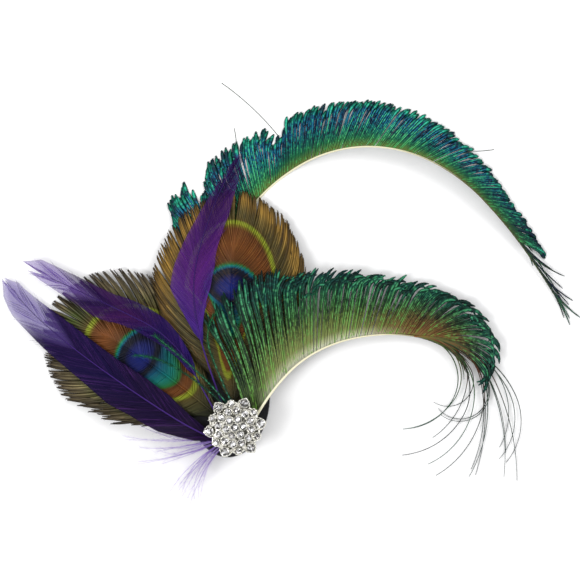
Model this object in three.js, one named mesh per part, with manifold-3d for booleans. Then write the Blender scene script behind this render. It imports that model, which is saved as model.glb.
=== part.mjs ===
// A peacock-feather hair ornament, lying face up on a table.
// Two sword plumes, two eye feathers, three dyed purple feathers, a tuft of purple down and a
// few loose green herls are glued at their roots to a black felt pad. A star-shaped brooch set
// with clear stones covers the roots, and a steel hair clip is glued under the pad.
// Millimetres. +Z is up. The origin is the middle of the clip's flat lower jaw, on the table,
// with +Y running from the brooch towards the upright feathers.
import * as THREE from "three";
import Module from "manifold-3d";
import { mergeVertices } from "three/addons/utils/BufferGeometryUtils.js";

const wasm = await Module();
wasm.setup();

// Clearance between pieces that are glued to, or rest on, each other
const GLUE_GAP = 0.3;

// Hair clip
const CLIP_LENGTH = 42;
const CLIP_WIDTH = 8;
const CLIP_HEIGHT = 4.6;
const CLIP_STRIP = 0.8;
const CLIP_FLAT = 20;
const CLIP_JAW_GAP = 0.3;
const CLIP_BEND = 0.6;
const CLIP_LIP = 1;
const BARREL_PAST_FLAT = 2.5;
const BARREL_OVERLAP = 0.2;

// Felt pad
const PAD_LENGTH = 50;
const PAD_WIDTH = 33.6;
const PAD_THICKNESS = 1.6;
const PAD_SHIFT = -2.8;

// Feather build: quill radius at the root, quill radius at the tip, thickness of a vane, and
// how far a vane reaches across its shaft so that both are one solid
const QUILL_RADIUS = 0.55;
const QUILL_TIP_RADIUS = 0.22;
const VANE_THICKNESS = 0.8;
const VANE_OVERLAP = 0.25;

// Each feather's shaft length and the length of its longest barb
const UPPER_SWORD_LENGTH = 243;
const UPPER_SWORD_BARB = 24;
const UPPER_SWORD_RISE = 7.5;
const LOWER_SWORD_LENGTH = 96;
const LOWER_SWORD_BARB = 42;
const TAIL_RADIUS = 0.35;
const UPRIGHT_EYE_LENGTH = 72;
const UPRIGHT_EYE_BARB = 44;
const LEFT_EYE_LENGTH = 66;
const LEFT_EYE_BARB = 44;
const UPRIGHT_PURPLE_LENGTH = 104;
const UPRIGHT_PURPLE_BARB = 22;
const HIGH_PURPLE_LENGTH = 97;
const HIGH_PURPLE_BARB = 17;
const LOW_PURPLE_LENGTH = 106;
const LOW_PURPLE_BARB = 22;
const DOWN_LENGTH = 42;
const HERL_LENGTH = 46;
const HERL_RADIUS = 0.5;

// Brooch
const BROOCH_RADIUS = 12.9;
const BROOCH_DROP = 12.8;
const BROOCH_PLATE = 0.9;
const STONE_CLEARANCE = 0.15;
const CUP_WALL = 0.3;

// The feathers lie in layers, each a quill's thickness and a gap above the one below.
const LAYER_STEP = 2 * QUILL_RADIUS + GLUE_GAP;
const TOP_LAYER = 3;
const PAD_UNDERSIDE = CLIP_HEIGHT + GLUE_GAP;
const PAD_TOP = PAD_UNDERSIDE + PAD_THICKNESS;
const FIRST_LAYER = PAD_TOP + GLUE_GAP + QUILL_RADIUS;
const BROOCH_SEAT = FIRST_LAYER + TOP_LAYER * LAYER_STEP + QUILL_RADIUS + GLUE_GAP;
const REST_HEIGHT = Math.max(VANE_THICKNESS / 2, QUILL_RADIUS * 0.75) + 0.01;

// The lowest layer is level over the pad and clip, and has sunk to the table at DRAPE_END,
// a margin past the end of the upright eye feather. UPRIGHT_EYE_TIP is its last barbs.
const UPRIGHT_EYE_TIP = 0.46 * UPRIGHT_EYE_BARB;
const DRAPE_MARGIN = 3;
const DRAPE_START = Math.max(PAD_LENGTH, CLIP_LENGTH) / 2 + DRAPE_MARGIN;
const UPRIGHT_EYE_ROOT = 0.22 * BROOCH_RADIUS - BROOCH_DROP;
const DRAPE_END = UPRIGHT_EYE_ROOT + UPRIGHT_EYE_LENGTH + UPRIGHT_EYE_TIP + DRAPE_MARGIN;
const ARCH_RUN = 20;

// Facets: round a quill and along it, round a thin strand and along it, and round a cup
const QUILL_SIDES = 5;
const QUILL_STEP = 8;
const STRAND_SIDES = 4;
const STRAND_SEGMENTS = 6;
const CUP_SIDES = 8;
const SLIVER = 0.02;

const rad = THREE.MathUtils.degToRad;
const smooth = (at) => THREE.MathUtils.smoothstep(at, 0, 1);

// The value of one column of a table at a share of the length, straight between rows.
function column(rows, name, at) {
  const after = rows.findIndex((row) => row.at >= at);
  if (after === 0) return rows[0][name];
  if (after < 0) return rows[rows.length - 1][name];
  const low = rows[after - 1];
  const high = rows[after];
  return THREE.MathUtils.mapLinear(at, low.at, high.at, low[name], high[name]);
}

// Height of a layer's middle above the table, at a place in plan.
function layerHeight(x, y, layer) {
  const sunk = THREE.MathUtils.smoothstep(Math.hypot(x, y), DRAPE_START, DRAPE_END);
  return THREE.MathUtils.lerp(FIRST_LAYER, REST_HEIGHT, sunk) + layer * LAYER_STEP;
}

// How far a lift applies: not at all until past the eye feathers, then in full.
function clearOfEyes(x, y) {
  return THREE.MathUtils.smoothstep(Math.hypot(x, y), DRAPE_END, DRAPE_END + ARCH_RUN);
}

// A closed three.js geometry as a solid that can be joined and cut.
function solidOf(geometry) {
  const bare = geometry.index ? geometry.toNonIndexed() : geometry.clone();
  bare.deleteAttribute("normal");
  bare.deleteAttribute("uv");
  const merged = mergeVertices(bare, 1e-4);
  const mesh = new wasm.Mesh({
    numProp: 3,
    vertProperties: new Float32Array(merged.attributes.position.array),
    triVerts: new Uint32Array(merged.index.array),
  });
  return new wasm.Manifold(mesh);
}

// A solid as a three.js geometry with flat faces. Slivers that a join leaves are merged away.
function geometryOf(solid) {
  const mesh = solid.simplify(SLIVER).getMesh();
  const geometry = new THREE.BufferGeometry();
  geometry.setAttribute("position", new THREE.BufferAttribute(mesh.vertProperties, 3));
  geometry.setIndex(new THREE.BufferAttribute(mesh.triVerts, 1));
  const flat = geometry.toNonIndexed();
  flat.computeVertexNormals();
  return flat;
}

function joined(solids) {
  return solids.reduce((whole, solid) => whole.add(solid));
}

function meshed(name, geometry, material) {
  const mesh = new THREE.Mesh(geometry, material);
  mesh.name = name;
  return mesh;
}

// A closed geometry from corner points and faces given as rings of point numbers.
function facetedGeometry(points, faces) {
  const index = [];
  for (const face of faces) {
    for (let k = 1; k + 1 < face.length; k += 1) index.push(face[0], face[k], face[k + 1]);
  }
  const geometry = new THREE.BufferGeometry();
  geometry.setAttribute("position", new THREE.Float32BufferAttribute(points.flat(), 3));
  geometry.setIndex(index);
  return geometry;
}

// A rod along a line of points, with a radius for each, closed at both ends.
function taperedRod(line, radii, sides) {
  const points = [];
  const faces = [];
  line.forEach((centre, i) => {
    const ahead = line[Math.min(i + 1, line.length - 1)];
    const behind = line[Math.max(i - 1, 0)];
    const heading = Math.atan2(ahead[1] - behind[1], ahead[0] - behind[0]);
    for (let k = 0; k < sides; k += 1) {
      const turn = (2 * Math.PI * k) / sides;
      const across = radii[i] * Math.cos(turn);
      points.push([
        centre[0] - across * Math.sin(heading),
        centre[1] + across * Math.cos(heading),
        centre[2] + radii[i] * Math.sin(turn),
      ]);
    }
  });
  const ring = (i) => Array.from({ length: sides }, (_, k) => i * sides + k);
  faces.push(ring(0).reverse(), ring(line.length - 1));
  for (let i = 0; i + 1 < line.length; i += 1) {
    for (let k = 0; k < sides; k += 1) {
      const next = (k + 1) % sides;
      faces.push([i * sides + k, i * sides + next, (i + 1) * sides + next, (i + 1) * sides + k]);
    }
  }
  return facetedGeometry(points, faces);
}

// A line in plan that starts at a point and follows the headings of a table.
// Returns a function from a share of the length to the place and heading there.
function planLine(start, length, rows) {
  const fine = 200;
  const places = [{ x: start.x, y: start.y, heading: rows[0].heading }];
  for (let i = 1; i <= fine; i += 1) {
    const before = places[i - 1];
    const heading = column(rows, "heading", (i - 0.5) / fine);
    places.push({
      x: before.x + (length / fine) * Math.cos(rad(heading)),
      y: before.y + (length / fine) * Math.sin(rad(heading)),
      heading: column(rows, "heading", i / fine),
    });
  }
  return (at) => {
    const step = THREE.MathUtils.clamp(at, 0, 1) * fine;
    const low = places[Math.floor(step)];
    const high = places[Math.ceil(step)];
    const part = step - Math.floor(step);
    return {
      x: THREE.MathUtils.lerp(low.x, high.x, part),
      y: THREE.MathUtils.lerp(low.y, high.y, part),
      heading: THREE.MathUtils.lerp(low.heading, high.heading, part),
    };
  };
}

// Where a feather's root lies: a share of the brooch's radius from the brooch's centre.
function rootPlace(feather) {
  return {
    x: feather.root.right * BROOCH_RADIUS,
    y: feather.root.up * BROOCH_RADIUS - BROOCH_DROP,
  };
}

// The place of a feather's shaft, in plan and height, at a share of its length.
function shaftPlace(feather, line, at) {
  const place = line(at);
  const lift = column(feather.shaft, "lift", at) * feather.rise * clearOfEyes(place.x, place.y);
  return { ...place, lift, z: layerHeight(place.x, place.y, feather.layer) + lift };
}

// A point on a barb: it leaves the shaft at its angle, bends evenly by its turn, and comes
// down from the shaft's lift to its layer at the tip. Side is 1 on the left and -1 on the right.
function barbPoint(feather, line, side, at, share, reachScale) {
  const root = shaftPlace(feather, line, at);
  const rows = side > 0 ? feather.left : feather.right;
  const reach = column(rows, "reach", at) * feather.barb * reachScale;
  const turn = rad(column(rows, "turn", at)) * side;
  const heading = rad(root.heading + side * column(rows, "angle", at)) + (turn * share) / 2;
  const x = root.x + reach * share * Math.cos(heading);
  const y = root.y + reach * share * Math.sin(heading);
  const z = layerHeight(x, y, feather.layer) + root.lift * (1 - share);
  return [x, y, z];
}

// One side of a vane: a thin plate from the shaft outwards, split at its edge into strips that
// end in points. The splits and points alternate a little, as real barbs do.
function vaneSide(feather, line, side) {
  const { strips, split, inner } = feather;
  const rows = side > 0 ? feather.left : feather.right;
  const first = rows[0].at;
  const last = rows[rows.length - 1].at;
  const shareAt = (i) => THREE.MathUtils.lerp(first, last, i / strips);
  const half = VANE_THICKNESS / 2;
  const points = [];
  const put = (at, share, scale, thick) => {
    const [x, y, z] = barbPoint(feather, line, side, at, share, scale);
    points.push([x, y, z + half * thick], [x, y, z - half * thick]);
    return points.length - 2;
  };
  const rootShare = -VANE_OVERLAP / feather.barb;
  const grid = [];
  for (let i = 0; i <= strips; i += 1) {
    const spine = [];
    const depth = i === 0 || i === strips ? 0.5 : split * (i % 2 ? 1 : 0.8);
    for (let j = 0; j <= inner; j += 1) {
      spine.push(put(shareAt(i), THREE.MathUtils.lerp(rootShare, 1 - depth, j / inner), 1, 1));
    }
    grid.push(spine);
  }
  const top = [];
  const rim = grid[0].slice();
  for (let i = 0; i < strips; i += 1) {
    for (let j = 0; j < inner; j += 1) {
      top.push([grid[i][j], grid[i + 1][j], grid[i + 1][j + 1], grid[i][j + 1]]);
    }
    const shoulder = 1 - split / 2;
    const length = [1, 0.93, 0.98, 0.9][i % 4];
    const low = put(shareAt(i + 0.25), shoulder, length, 0.9);
    const high = put(shareAt(i + 0.75), shoulder, length, 0.9);
    const tip = put(shareAt(i + 0.5), 1, length, 0.5);
    top.push([grid[i][inner], grid[i + 1][inner], high, low], [low, high, tip]);
    rim.push(low, tip, high, grid[i + 1][inner]);
  }
  for (let j = inner - 1; j >= 0; j -= 1) rim.push(grid[strips][j]);
  for (let i = strips - 1; i > 0; i -= 1) rim.push(grid[i][0]);
  const faces = [];
  for (const face of top) {
    faces.push(face, face.map((p) => p + 1).reverse());
  }
  rim.forEach((p, k) => {
    const next = rim[(k + 1) % rim.length];
    faces.push([p, next, next + 1, p + 1]);
  });
  if (side < 0) faces.forEach((face) => face.reverse());
  return facetedGeometry(points, faces);
}

// A whole feather: its tapered quill and the one or two sides of its vane.
function featherMesh(feather, material) {
  const line = planLine(rootPlace(feather), feather.length, feather.shaft);
  const steps = Math.max(6, Math.round(feather.length / QUILL_STEP));
  const spots = Array.from({ length: steps + 1 }, (_, i) => i / steps);
  const centres = spots.map((at) => {
    const place = shaftPlace(feather, line, at);
    return [place.x, place.y, place.z];
  });
  const radii = spots.map((at) => THREE.MathUtils.lerp(QUILL_RADIUS, QUILL_TIP_RADIUS, at));
  const solids = [solidOf(taperedRod(centres, radii, QUILL_SIDES))];
  if (feather.left) solids.push(solidOf(vaneSide(feather, line, 1)));
  if (feather.right) solids.push(solidOf(vaneSide(feather, line, -1)));
  for (const [number, tail] of (feather.tails ?? []).entries()) {
    const start = shaftPlace(feather, line, tail.at);
    const rest = REST_HEIGHT + 0.3 * TAIL_RADIUS * (number % 3);
    const height = (place, at) => THREE.MathUtils.lerp(start.z, rest, smooth(at));
    solids.push(strandSolid(start, tail.reach * feather.length, tail, TAIL_RADIUS, height));
  }
  return meshed(feather.name, geometryOf(joined(solids)), material);
}

// One thin strand in plan from a start and its own headings, as a rod that thins to its tip.
// Height is a function of the place in plan and of the share of the strand's length.
function strandSolid(start, length, strand, radius, height) {
  const line = planLine(start, length, [
    { at: 0, heading: strand.from },
    { at: strand.bend, heading: strand.via },
    { at: 1, heading: strand.to },
  ]);
  const spots = Array.from({ length: STRAND_SEGMENTS + 1 }, (_, i) => i / STRAND_SEGMENTS);
  const centres = spots.map((at) => {
    const place = line(at);
    return [place.x, place.y, height(place, at)];
  });
  const radii = spots.map((at) => radius * THREE.MathUtils.lerp(0.92, 0.4, at));
  return solidOf(taperedRod(centres, radii, STRAND_SIDES));
}

// Loose strands from one root: a short bar with strands side by side along it, each with its
// own headings, length and droop. Neighbours lie a little higher and lower by turns.
function strandsMesh(bundle, material) {
  const root = rootPlace(bundle);
  const level = (place) => layerHeight(place.x, place.y, bundle.layer);
  const facing = rad(bundle.facing);
  const spacing = 1.7 * bundle.radius;
  const onBar = (across) => ({
    x: root.x - across * Math.sin(facing),
    y: root.y + across * Math.cos(facing),
  });
  const reach = (spacing * (bundle.strands.length - 1)) / 2 + bundle.radius;
  const ends = [onBar(-reach), onBar(reach)].map((place) => [place.x, place.y, level(place)]);
  const bar = solidOf(taperedRod(ends, [bundle.radius, bundle.radius], 8));
  const strands = bundle.strands.map((strand, number) => {
    const start = onBar(spacing * (number - (bundle.strands.length - 1) / 2));
    const stagger = (number % 2 ? 0.1 : -0.1) * bundle.radius;
    const height = (place, at) => level(place) - strand.droop * bundle.length * at * at + stagger;
    return strandSolid(start, strand.reach * bundle.length, strand, bundle.radius, height);
  });
  return meshed(bundle.name, geometryOf(joined([bar, ...strands])), material);
}

// Shaft rows hold a share of the length, the heading in plan, and the lift as a share of the
// feather's rise. Vane rows hold a share of the length, the barbs' angle from the shaft, how far
// they bend by their tips, and their length as a share of the longest.
const upperSword = {
  name: "upper_sword_plume",
  layer: 0,
  root: { right: 0.12, up: 0.37 },
  length: UPPER_SWORD_LENGTH,
  barb: UPPER_SWORD_BARB,
  rise: UPPER_SWORD_RISE,
  strips: 34,
  split: 0.3,
  inner: 1,
  shaft: [
    { at: 0, heading: 98, lift: 0 },
    { at: 0.14, heading: 97, lift: 0 },
    { at: 0.21, heading: 92, lift: 0 },
    { at: 0.29, heading: 69, lift: 0 },
    { at: 0.38, heading: 46, lift: 0.4 },
    { at: 0.46, heading: 30, lift: 0.7 },
    { at: 0.54, heading: 10, lift: 0.9 },
    { at: 0.61, heading: -8, lift: 1 },
    { at: 0.69, heading: -27, lift: 1 },
    { at: 0.79, heading: -46, lift: 0.8 },
    { at: 0.93, heading: -56, lift: 0.2 },
    { at: 1, heading: -58, lift: 0 },
  ],
  left: [
    { at: 0.22, angle: 44, turn: 2, reach: 1.3 },
    { at: 0.28, angle: 52, turn: 2, reach: 1.25 },
    { at: 0.34, angle: 54, turn: 2, reach: 1.18 },
    { at: 0.4, angle: 54, turn: 2, reach: 1.02 },
    { at: 0.46, angle: 54, turn: 2, reach: 0.98 },
    { at: 0.54, angle: 58, turn: 2, reach: 0.92 },
    { at: 0.61, angle: 58, turn: 0, reach: 0.84 },
    { at: 0.69, angle: 53, turn: -4, reach: 0.7 },
    { at: 0.79, angle: 44, turn: -10, reach: 0.52 },
    { at: 0.87, angle: 30, turn: -8, reach: 0.52 },
    { at: 0.93, angle: 15, turn: -6, reach: 0.62 },
    { at: 1, angle: 12, turn: -4, reach: 0.45 },
  ],
};

const lowerSword = {
  name: "lower_sword_plume",
  layer: 2,
  root: { right: 0.28, up: -0.28 },
  length: LOWER_SWORD_LENGTH,
  barb: LOWER_SWORD_BARB,
  rise: -2 * LAYER_STEP,
  strips: 26,
  split: 0.32,
  inner: 3,
  shaft: [
    { at: 0, heading: 60, lift: 0 },
    { at: 0.16, heading: 57, lift: 0 },
    { at: 0.32, heading: 46, lift: 0 },
    { at: 0.47, heading: 28, lift: 0 },
    { at: 0.62, heading: 13, lift: 0 },
    { at: 0.75, heading: 3, lift: 0.2 },
    { at: 0.91, heading: -10, lift: 0.8 },
    { at: 1, heading: -18, lift: 1 },
  ],
  left: [
    { at: 0.08, angle: 44, turn: 9, reach: 1.1 },
    { at: 0.16, angle: 42, turn: 6, reach: 1.26 },
    { at: 0.3, angle: 50, turn: 0, reach: 1.06 },
    { at: 0.4, angle: 60, turn: -4, reach: 0.88 },
    { at: 0.47, angle: 61, turn: -4, reach: 0.84 },
    { at: 0.62, angle: 68, turn: -4, reach: 0.72 },
    { at: 0.75, angle: 68, turn: -6, reach: 0.64 },
    { at: 0.88, angle: 64, turn: -8, reach: 0.6 },
    { at: 1, angle: 44, turn: -12, reach: 0.62 },
  ],
  // Bare hair-like barbs that curl back from the end of the shaft
  tails: [
    { at: 0.9, from: 0, bend: 0.6, via: -120, to: -175, reach: 0.78 },
    { at: 0.9, from: 0, bend: 0.5, via: -60, to: -220, reach: 0.7 },
    { at: 0.95, from: 0, bend: 0.5, via: -95, to: -150, reach: 0.78 },
    { at: 0.95, from: 5, bend: 0.45, via: -80, to: -120, reach: 0.74 },
    { at: 0.95, from: 0, bend: 0.6, via: -65, to: -130, reach: 0.76 },
    { at: 0.95, from: 0, bend: 0.45, via: -65, to: -90, reach: 0.78 },
  ],
};

const eyeShaft = (headings) => headings.map((row) => ({ ...row, lift: 0 }));

const uprightEye = {
  name: "upright_eye_feather",
  layer: 1,
  root: { right: 0.06, up: 0.22 },
  length: UPRIGHT_EYE_LENGTH,
  barb: UPRIGHT_EYE_BARB,
  rise: 0,
  strips: 13,
  split: 0.14,
  inner: 4,
  shaft: eyeShaft([
    { at: 0, heading: 96 },
    { at: 0.4, heading: 92 },
    { at: 1, heading: 86 },
  ]),
  left: [
    { at: 0.14, angle: 48, turn: 4, reach: 0.3 },
    { at: 0.28, angle: 48, turn: 4, reach: 0.8 },
    { at: 0.4, angle: 45, turn: 4, reach: 1 },
    { at: 0.55, angle: 41, turn: 4, reach: 0.97 },
    { at: 0.7, angle: 35, turn: 4, reach: 0.86 },
    { at: 0.85, angle: 25, turn: 2, reach: 0.68 },
    { at: 1, angle: 3, turn: 0, reach: 0.46 },
  ],
  right: [
    { at: 0.14, angle: 48, turn: 4, reach: 0.3 },
    { at: 0.28, angle: 48, turn: 4, reach: 0.8 },
    { at: 0.4, angle: 44, turn: 4, reach: 1 },
    { at: 0.55, angle: 40, turn: 4, reach: 0.97 },
    { at: 0.7, angle: 34, turn: 4, reach: 0.86 },
    { at: 0.85, angle: 24, turn: 2, reach: 0.68 },
    { at: 1, angle: 3, turn: 0, reach: 0.46 },
  ],
};

const leftEye = {
  name: "left_eye_feather",
  layer: 0,
  root: { right: -0.25, up: 0.09 },
  length: LEFT_EYE_LENGTH,
  barb: LEFT_EYE_BARB,
  rise: 0,
  strips: 13,
  split: 0.14,
  inner: 4,
  shaft: eyeShaft([
    { at: 0, heading: 139 },
    { at: 0.5, heading: 144 },
    { at: 1, heading: 152 },
  ]),
  left: [
    { at: 0.14, angle: 54, turn: 2, reach: 0.35 },
    { at: 0.3, angle: 53, turn: 2, reach: 0.77 },
    { at: 0.55, angle: 45, turn: 2, reach: 0.86 },
    { at: 0.7, angle: 35, turn: 2, reach: 0.78 },
    { at: 0.85, angle: 22, turn: 0, reach: 0.63 },
    { at: 1, angle: 3, turn: 0, reach: 0.45 },
  ],
  right: [
    { at: 0.14, angle: 40, turn: 2, reach: 0.4 },
    { at: 0.25, angle: 40, turn: 2, reach: 0.8 },
    { at: 0.4, angle: 40, turn: 2, reach: 1 },
    { at: 0.55, angle: 35, turn: 2, reach: 0.95 },
    { at: 0.7, angle: 28, turn: 2, reach: 0.84 },
    { at: 0.85, angle: 20, turn: 0, reach: 0.64 },
    { at: 1, angle: 3, turn: 0, reach: 0.45 },
  ],
};

const uprightPurple = {
  name: "upright_purple_feather",
  layer: 2,
  root: { right: -0.31, up: 0.53 },
  length: UPRIGHT_PURPLE_LENGTH,
  barb: UPRIGHT_PURPLE_BARB,
  rise: 0,
  strips: 9,
  split: 0.3,
  inner: 2,
  shaft: eyeShaft([
    { at: 0, heading: 112 },
    { at: 0.28, heading: 106 },
    { at: 0.44, heading: 94 },
    { at: 0.62, heading: 76 },
    { at: 0.82, heading: 68 },
    { at: 1, heading: 63 },
  ]),
  left: [
    { at: 0.28, angle: 22, turn: 6, reach: 0.2 },
    { at: 0.38, angle: 28, turn: 4, reach: 0.86 },
    { at: 0.52, angle: 30, turn: 2, reach: 1 },
    { at: 0.75, angle: 26, turn: 0, reach: 1 },
    { at: 0.9, angle: 20, turn: 0, reach: 0.8 },
    { at: 1, angle: 5, turn: 0, reach: 0.4 },
  ],
  right: [
    { at: 0.28, angle: 22, turn: 0, reach: 0.2 },
    { at: 0.4, angle: 27, turn: -4, reach: 0.9 },
    { at: 0.55, angle: 27, turn: -4, reach: 0.9 },
    { at: 0.75, angle: 20, turn: -4, reach: 0.7 },
    { at: 1, angle: 5, turn: 0, reach: 0.35 },
  ],
};

const highPurple = {
  name: "high_purple_feather",
  layer: 2,
  root: { right: -0.4, up: 0.09 },
  length: HIGH_PURPLE_LENGTH,
  barb: HIGH_PURPLE_BARB,
  rise: 0,
  strips: 9,
  split: 0.3,
  inner: 2,
  shaft: eyeShaft([
    { at: 0, heading: 119 },
    { at: 0.24, heading: 118 },
    { at: 0.4, heading: 136 },
    { at: 0.56, heading: 154 },
    { at: 1, heading: 156 },
  ]),
  left: [
    { at: 0.22, angle: 22, turn: 0, reach: 0.3 },
    { at: 0.36, angle: 26, turn: 0, reach: 0.8 },
    { at: 0.6, angle: 26, turn: 0, reach: 1 },
    { at: 0.85, angle: 22, turn: 0, reach: 1 },
    { at: 1, angle: 5, turn: 0, reach: 0.4 },
  ],
  right: [
    { at: 0.22, angle: 20, turn: 0, reach: 0.3 },
    { at: 0.36, angle: 22, turn: 4, reach: 0.7 },
    { at: 0.6, angle: 22, turn: 4, reach: 0.9 },
    { at: 0.85, angle: 26, turn: 0, reach: 1 },
    { at: 1, angle: 5, turn: 0, reach: 0.4 },
  ],
};

const lowPurple = {
  name: "low_purple_feather",
  layer: 1,
  root: { right: -0.28, up: -0.5 },
  length: LOW_PURPLE_LENGTH,
  barb: LOW_PURPLE_BARB,
  rise: 0,
  strips: 10,
  split: 0.28,
  inner: 2,
  shaft: eyeShaft([
    { at: 0, heading: 160 },
    { at: 0.22, heading: 148 },
    { at: 0.6, heading: 144 },
    { at: 0.82, heading: 139 },
    { at: 1, heading: 128 },
  ]),
  left: [
    { at: 0.16, angle: 22, turn: 0, reach: 0.3 },
    { at: 0.34, angle: 24, turn: 0, reach: 0.9 },
    { at: 0.6, angle: 23, turn: 0, reach: 1 },
    { at: 0.86, angle: 20, turn: -4, reach: 0.9 },
    { at: 1, angle: 5, turn: 0, reach: 0.35 },
  ],
  right: [
    { at: 0.16, angle: 20, turn: 0, reach: 0.3 },
    { at: 0.34, angle: 22, turn: 0, reach: 0.9 },
    { at: 0.6, angle: 22, turn: 0, reach: 1 },
    { at: 0.86, angle: 20, turn: 0, reach: 0.86 },
    { at: 1, angle: 5, turn: 0, reach: 0.35 },
  ],
};

// Strand rows hold the heading at the root, at the bend and at the tip, where the bend lies, the
// length as a share of the longest, and how far the tip droops as a share of that length.
const downTuft = {
  name: "purple_down_tuft",
  layer: 0,
  root: { right: -0.5, up: -0.5 },
  facing: 205,
  length: DOWN_LENGTH,
  radius: QUILL_RADIUS,
  strands: [
    { from: 188, bend: 0.4, via: 182, to: 168, reach: 0.9, droop: 0.04 },
    { from: 194, bend: 0.4, via: 188, to: 178, reach: 0.75, droop: 0.05 },
    { from: 202, bend: 0.4, via: 196, to: 184, reach: 0.84, droop: 0.06 },
    { from: 210, bend: 0.4, via: 222, to: 240, reach: 0.72, droop: 0.08 },
    { from: 218, bend: 0.4, via: 231, to: 246, reach: 0.62, droop: 0.09 },
    { from: 226, bend: 0.4, via: 240, to: 254, reach: 0.66, droop: 0.09 },
  ],
};

const greenHerls = {
  name: "loose_green_herls",
  layer: TOP_LAYER,
  root: { right: -0.05, up: 0.5 },
  facing: 122,
  length: HERL_LENGTH,
  radius: HERL_RADIUS,
  strands: [
    { from: 116, bend: 0.6, via: 110, to: 52, reach: 0.92, droop: 0 },
    { from: 128, bend: 0.5, via: 137, to: 143, reach: 0.95, droop: 0 },
    { from: 134, bend: 0.6, via: 148, to: 176, reach: 1, droop: 0 },
  ],
};

// The clip is bent from two steel strips that cross at a spring barrel. Its jaws are shut.
function clipMesh(material) {
  const half = CLIP_LENGTH / 2;
  const inner = CLIP_HEIGHT - CLIP_STRIP;
  const flat = CLIP_FLAT / 2;
  const barrelAt = flat + BARREL_PAST_FLAT;
  const barrelRadius = (inner - CLIP_STRIP) / 2 + BARREL_OVERLAP;
  const barrelHeight = CLIP_HEIGHT / 2;
  const upper = new THREE.Shape()
    .moveTo(-half, inner)
    .lineTo(half, inner)
    .lineTo(half, CLIP_HEIGHT)
    .lineTo(-half, CLIP_HEIGHT);
  const lower = new THREE.Shape()
    .moveTo(-flat, 0)
    .lineTo(flat, 0)
    .lineTo(barrelAt, barrelHeight - CLIP_STRIP)
    .lineTo(half - CLIP_LIP, 0)
    .lineTo(half, CLIP_STRIP)
    .lineTo(barrelAt, barrelHeight + CLIP_STRIP / 2)
    .lineTo(flat - CLIP_BEND, CLIP_STRIP)
    .lineTo(-flat + CLIP_BEND, CLIP_STRIP)
    .lineTo(-half + CLIP_BEND, inner - CLIP_JAW_GAP)
    .lineTo(-half, inner - CLIP_JAW_GAP - CLIP_STRIP);
  const barrel = new THREE.Shape().absarc(barrelAt, barrelHeight, barrelRadius, 0, 2 * Math.PI);
  const solids = [upper, lower, barrel].map((shape) => {
    const geometry = new THREE.ExtrudeGeometry(shape, {
      depth: CLIP_WIDTH,
      bevelEnabled: false,
      curveSegments: 6,
    });
    // The profile's own x and y become the ornament's y and z.
    geometry.rotateX(Math.PI / 2).rotateZ(Math.PI / 2).translate(-CLIP_WIDTH / 2, 0, 0);
    return solidOf(geometry);
  });
  return meshed("hair_clip", geometryOf(joined(solids)), material);
}

function padMesh(material) {
  const oval = new THREE.Shape().absellipse(0, 0, PAD_WIDTH / 2, PAD_LENGTH / 2, 0, 2 * Math.PI);
  const bevel = 0.3;
  const geometry = new THREE.ExtrudeGeometry(oval, {
    depth: PAD_THICKNESS - 2 * bevel,
    bevelSize: bevel,
    bevelOffset: -bevel,
    bevelThickness: bevel,
    bevelSegments: 1,
    curveSegments: 16,
  });
  geometry.translate(PAD_SHIFT, 0, PAD_UNDERSIDE + bevel);
  return meshed("felt_pad", geometryOf(solidOf(geometry)), material);
}

// Rings of stones. Out, stone and seat are shares of the brooch's radius: how far the ring lies
// from the centre, the stones' diameter, and the height of a cup's foot over the plate's foot.
const STAR_POINTS = 6;
const STAR_PHASE = 8.5;
const rings = [
  { name: "centre", count: 1, out: 0, stone: 0.217, tilt: 0, seat: 0.17, phase: 0 },
  { name: "inner", count: 6, out: 0.256, stone: 0.194, tilt: 7, seat: 0.14, phase: 0 },
  { name: "middle", count: 12, out: 0.5, stone: 0.2, tilt: 14, seat: 0.08, phase: 15 },
  { name: "short_point", count: 6, out: 0.725, stone: 0.2, tilt: 20, seat: 0.045, phase: 30 },
  { name: "long_point", count: 6, out: 0.775, stone: 0.264, tilt: 20, seat: 0.045, phase: 0 },
];

// A stone cut: table, eight crown facets, girdle and eight pavilion facets down to a point.
function stoneCut(diameter) {
  return {
    pavilion: 0.42 * diameter,
    girdle: 0.06 * diameter,
    crown: 0.17 * diameter,
    table: 0.28 * diameter,
  };
}

function stoneGeometry(diameter) {
  const cut = stoneCut(diameter);
  const profile = [
    new THREE.Vector2(0, -cut.pavilion),
    new THREE.Vector2(diameter / 2, 0),
    new THREE.Vector2(diameter / 2, cut.girdle),
    new THREE.Vector2(cut.table, cut.girdle + cut.crown),
    new THREE.Vector2(0, cut.girdle + cut.crown),
  ];
  return new THREE.LatheGeometry(profile, 8).rotateX(Math.PI / 2);
}

// The frame of one seat: at its ring's place, leaning outwards, with its foot at the origin.
function seatMatrix(ring, number) {
  const turn = rad(STAR_PHASE + ring.phase + (360 * number) / ring.count);
  return new THREE.Matrix4()
    .makeTranslation(0, -BROOCH_DROP, BROOCH_SEAT + ring.seat * BROOCH_RADIUS)
    .multiply(new THREE.Matrix4().makeRotationZ(turn))
    .multiply(new THREE.Matrix4().makeTranslation(ring.out * BROOCH_RADIUS, 0, 0))
    .multiply(new THREE.Matrix4().makeRotationY(rad(ring.tilt)));
}

// The girdle stands this far above the cup's foot.
function girdleHeight(diameter) {
  return stoneCut(diameter).pavilion + STONE_CLEARANCE + CUP_WALL;
}

function standing(radius, height, sides) {
  const geometry = new THREE.CylinderGeometry(radius, radius, height, sides);
  return geometry.rotateX(Math.PI / 2).translate(0, 0, height / 2);
}

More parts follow.
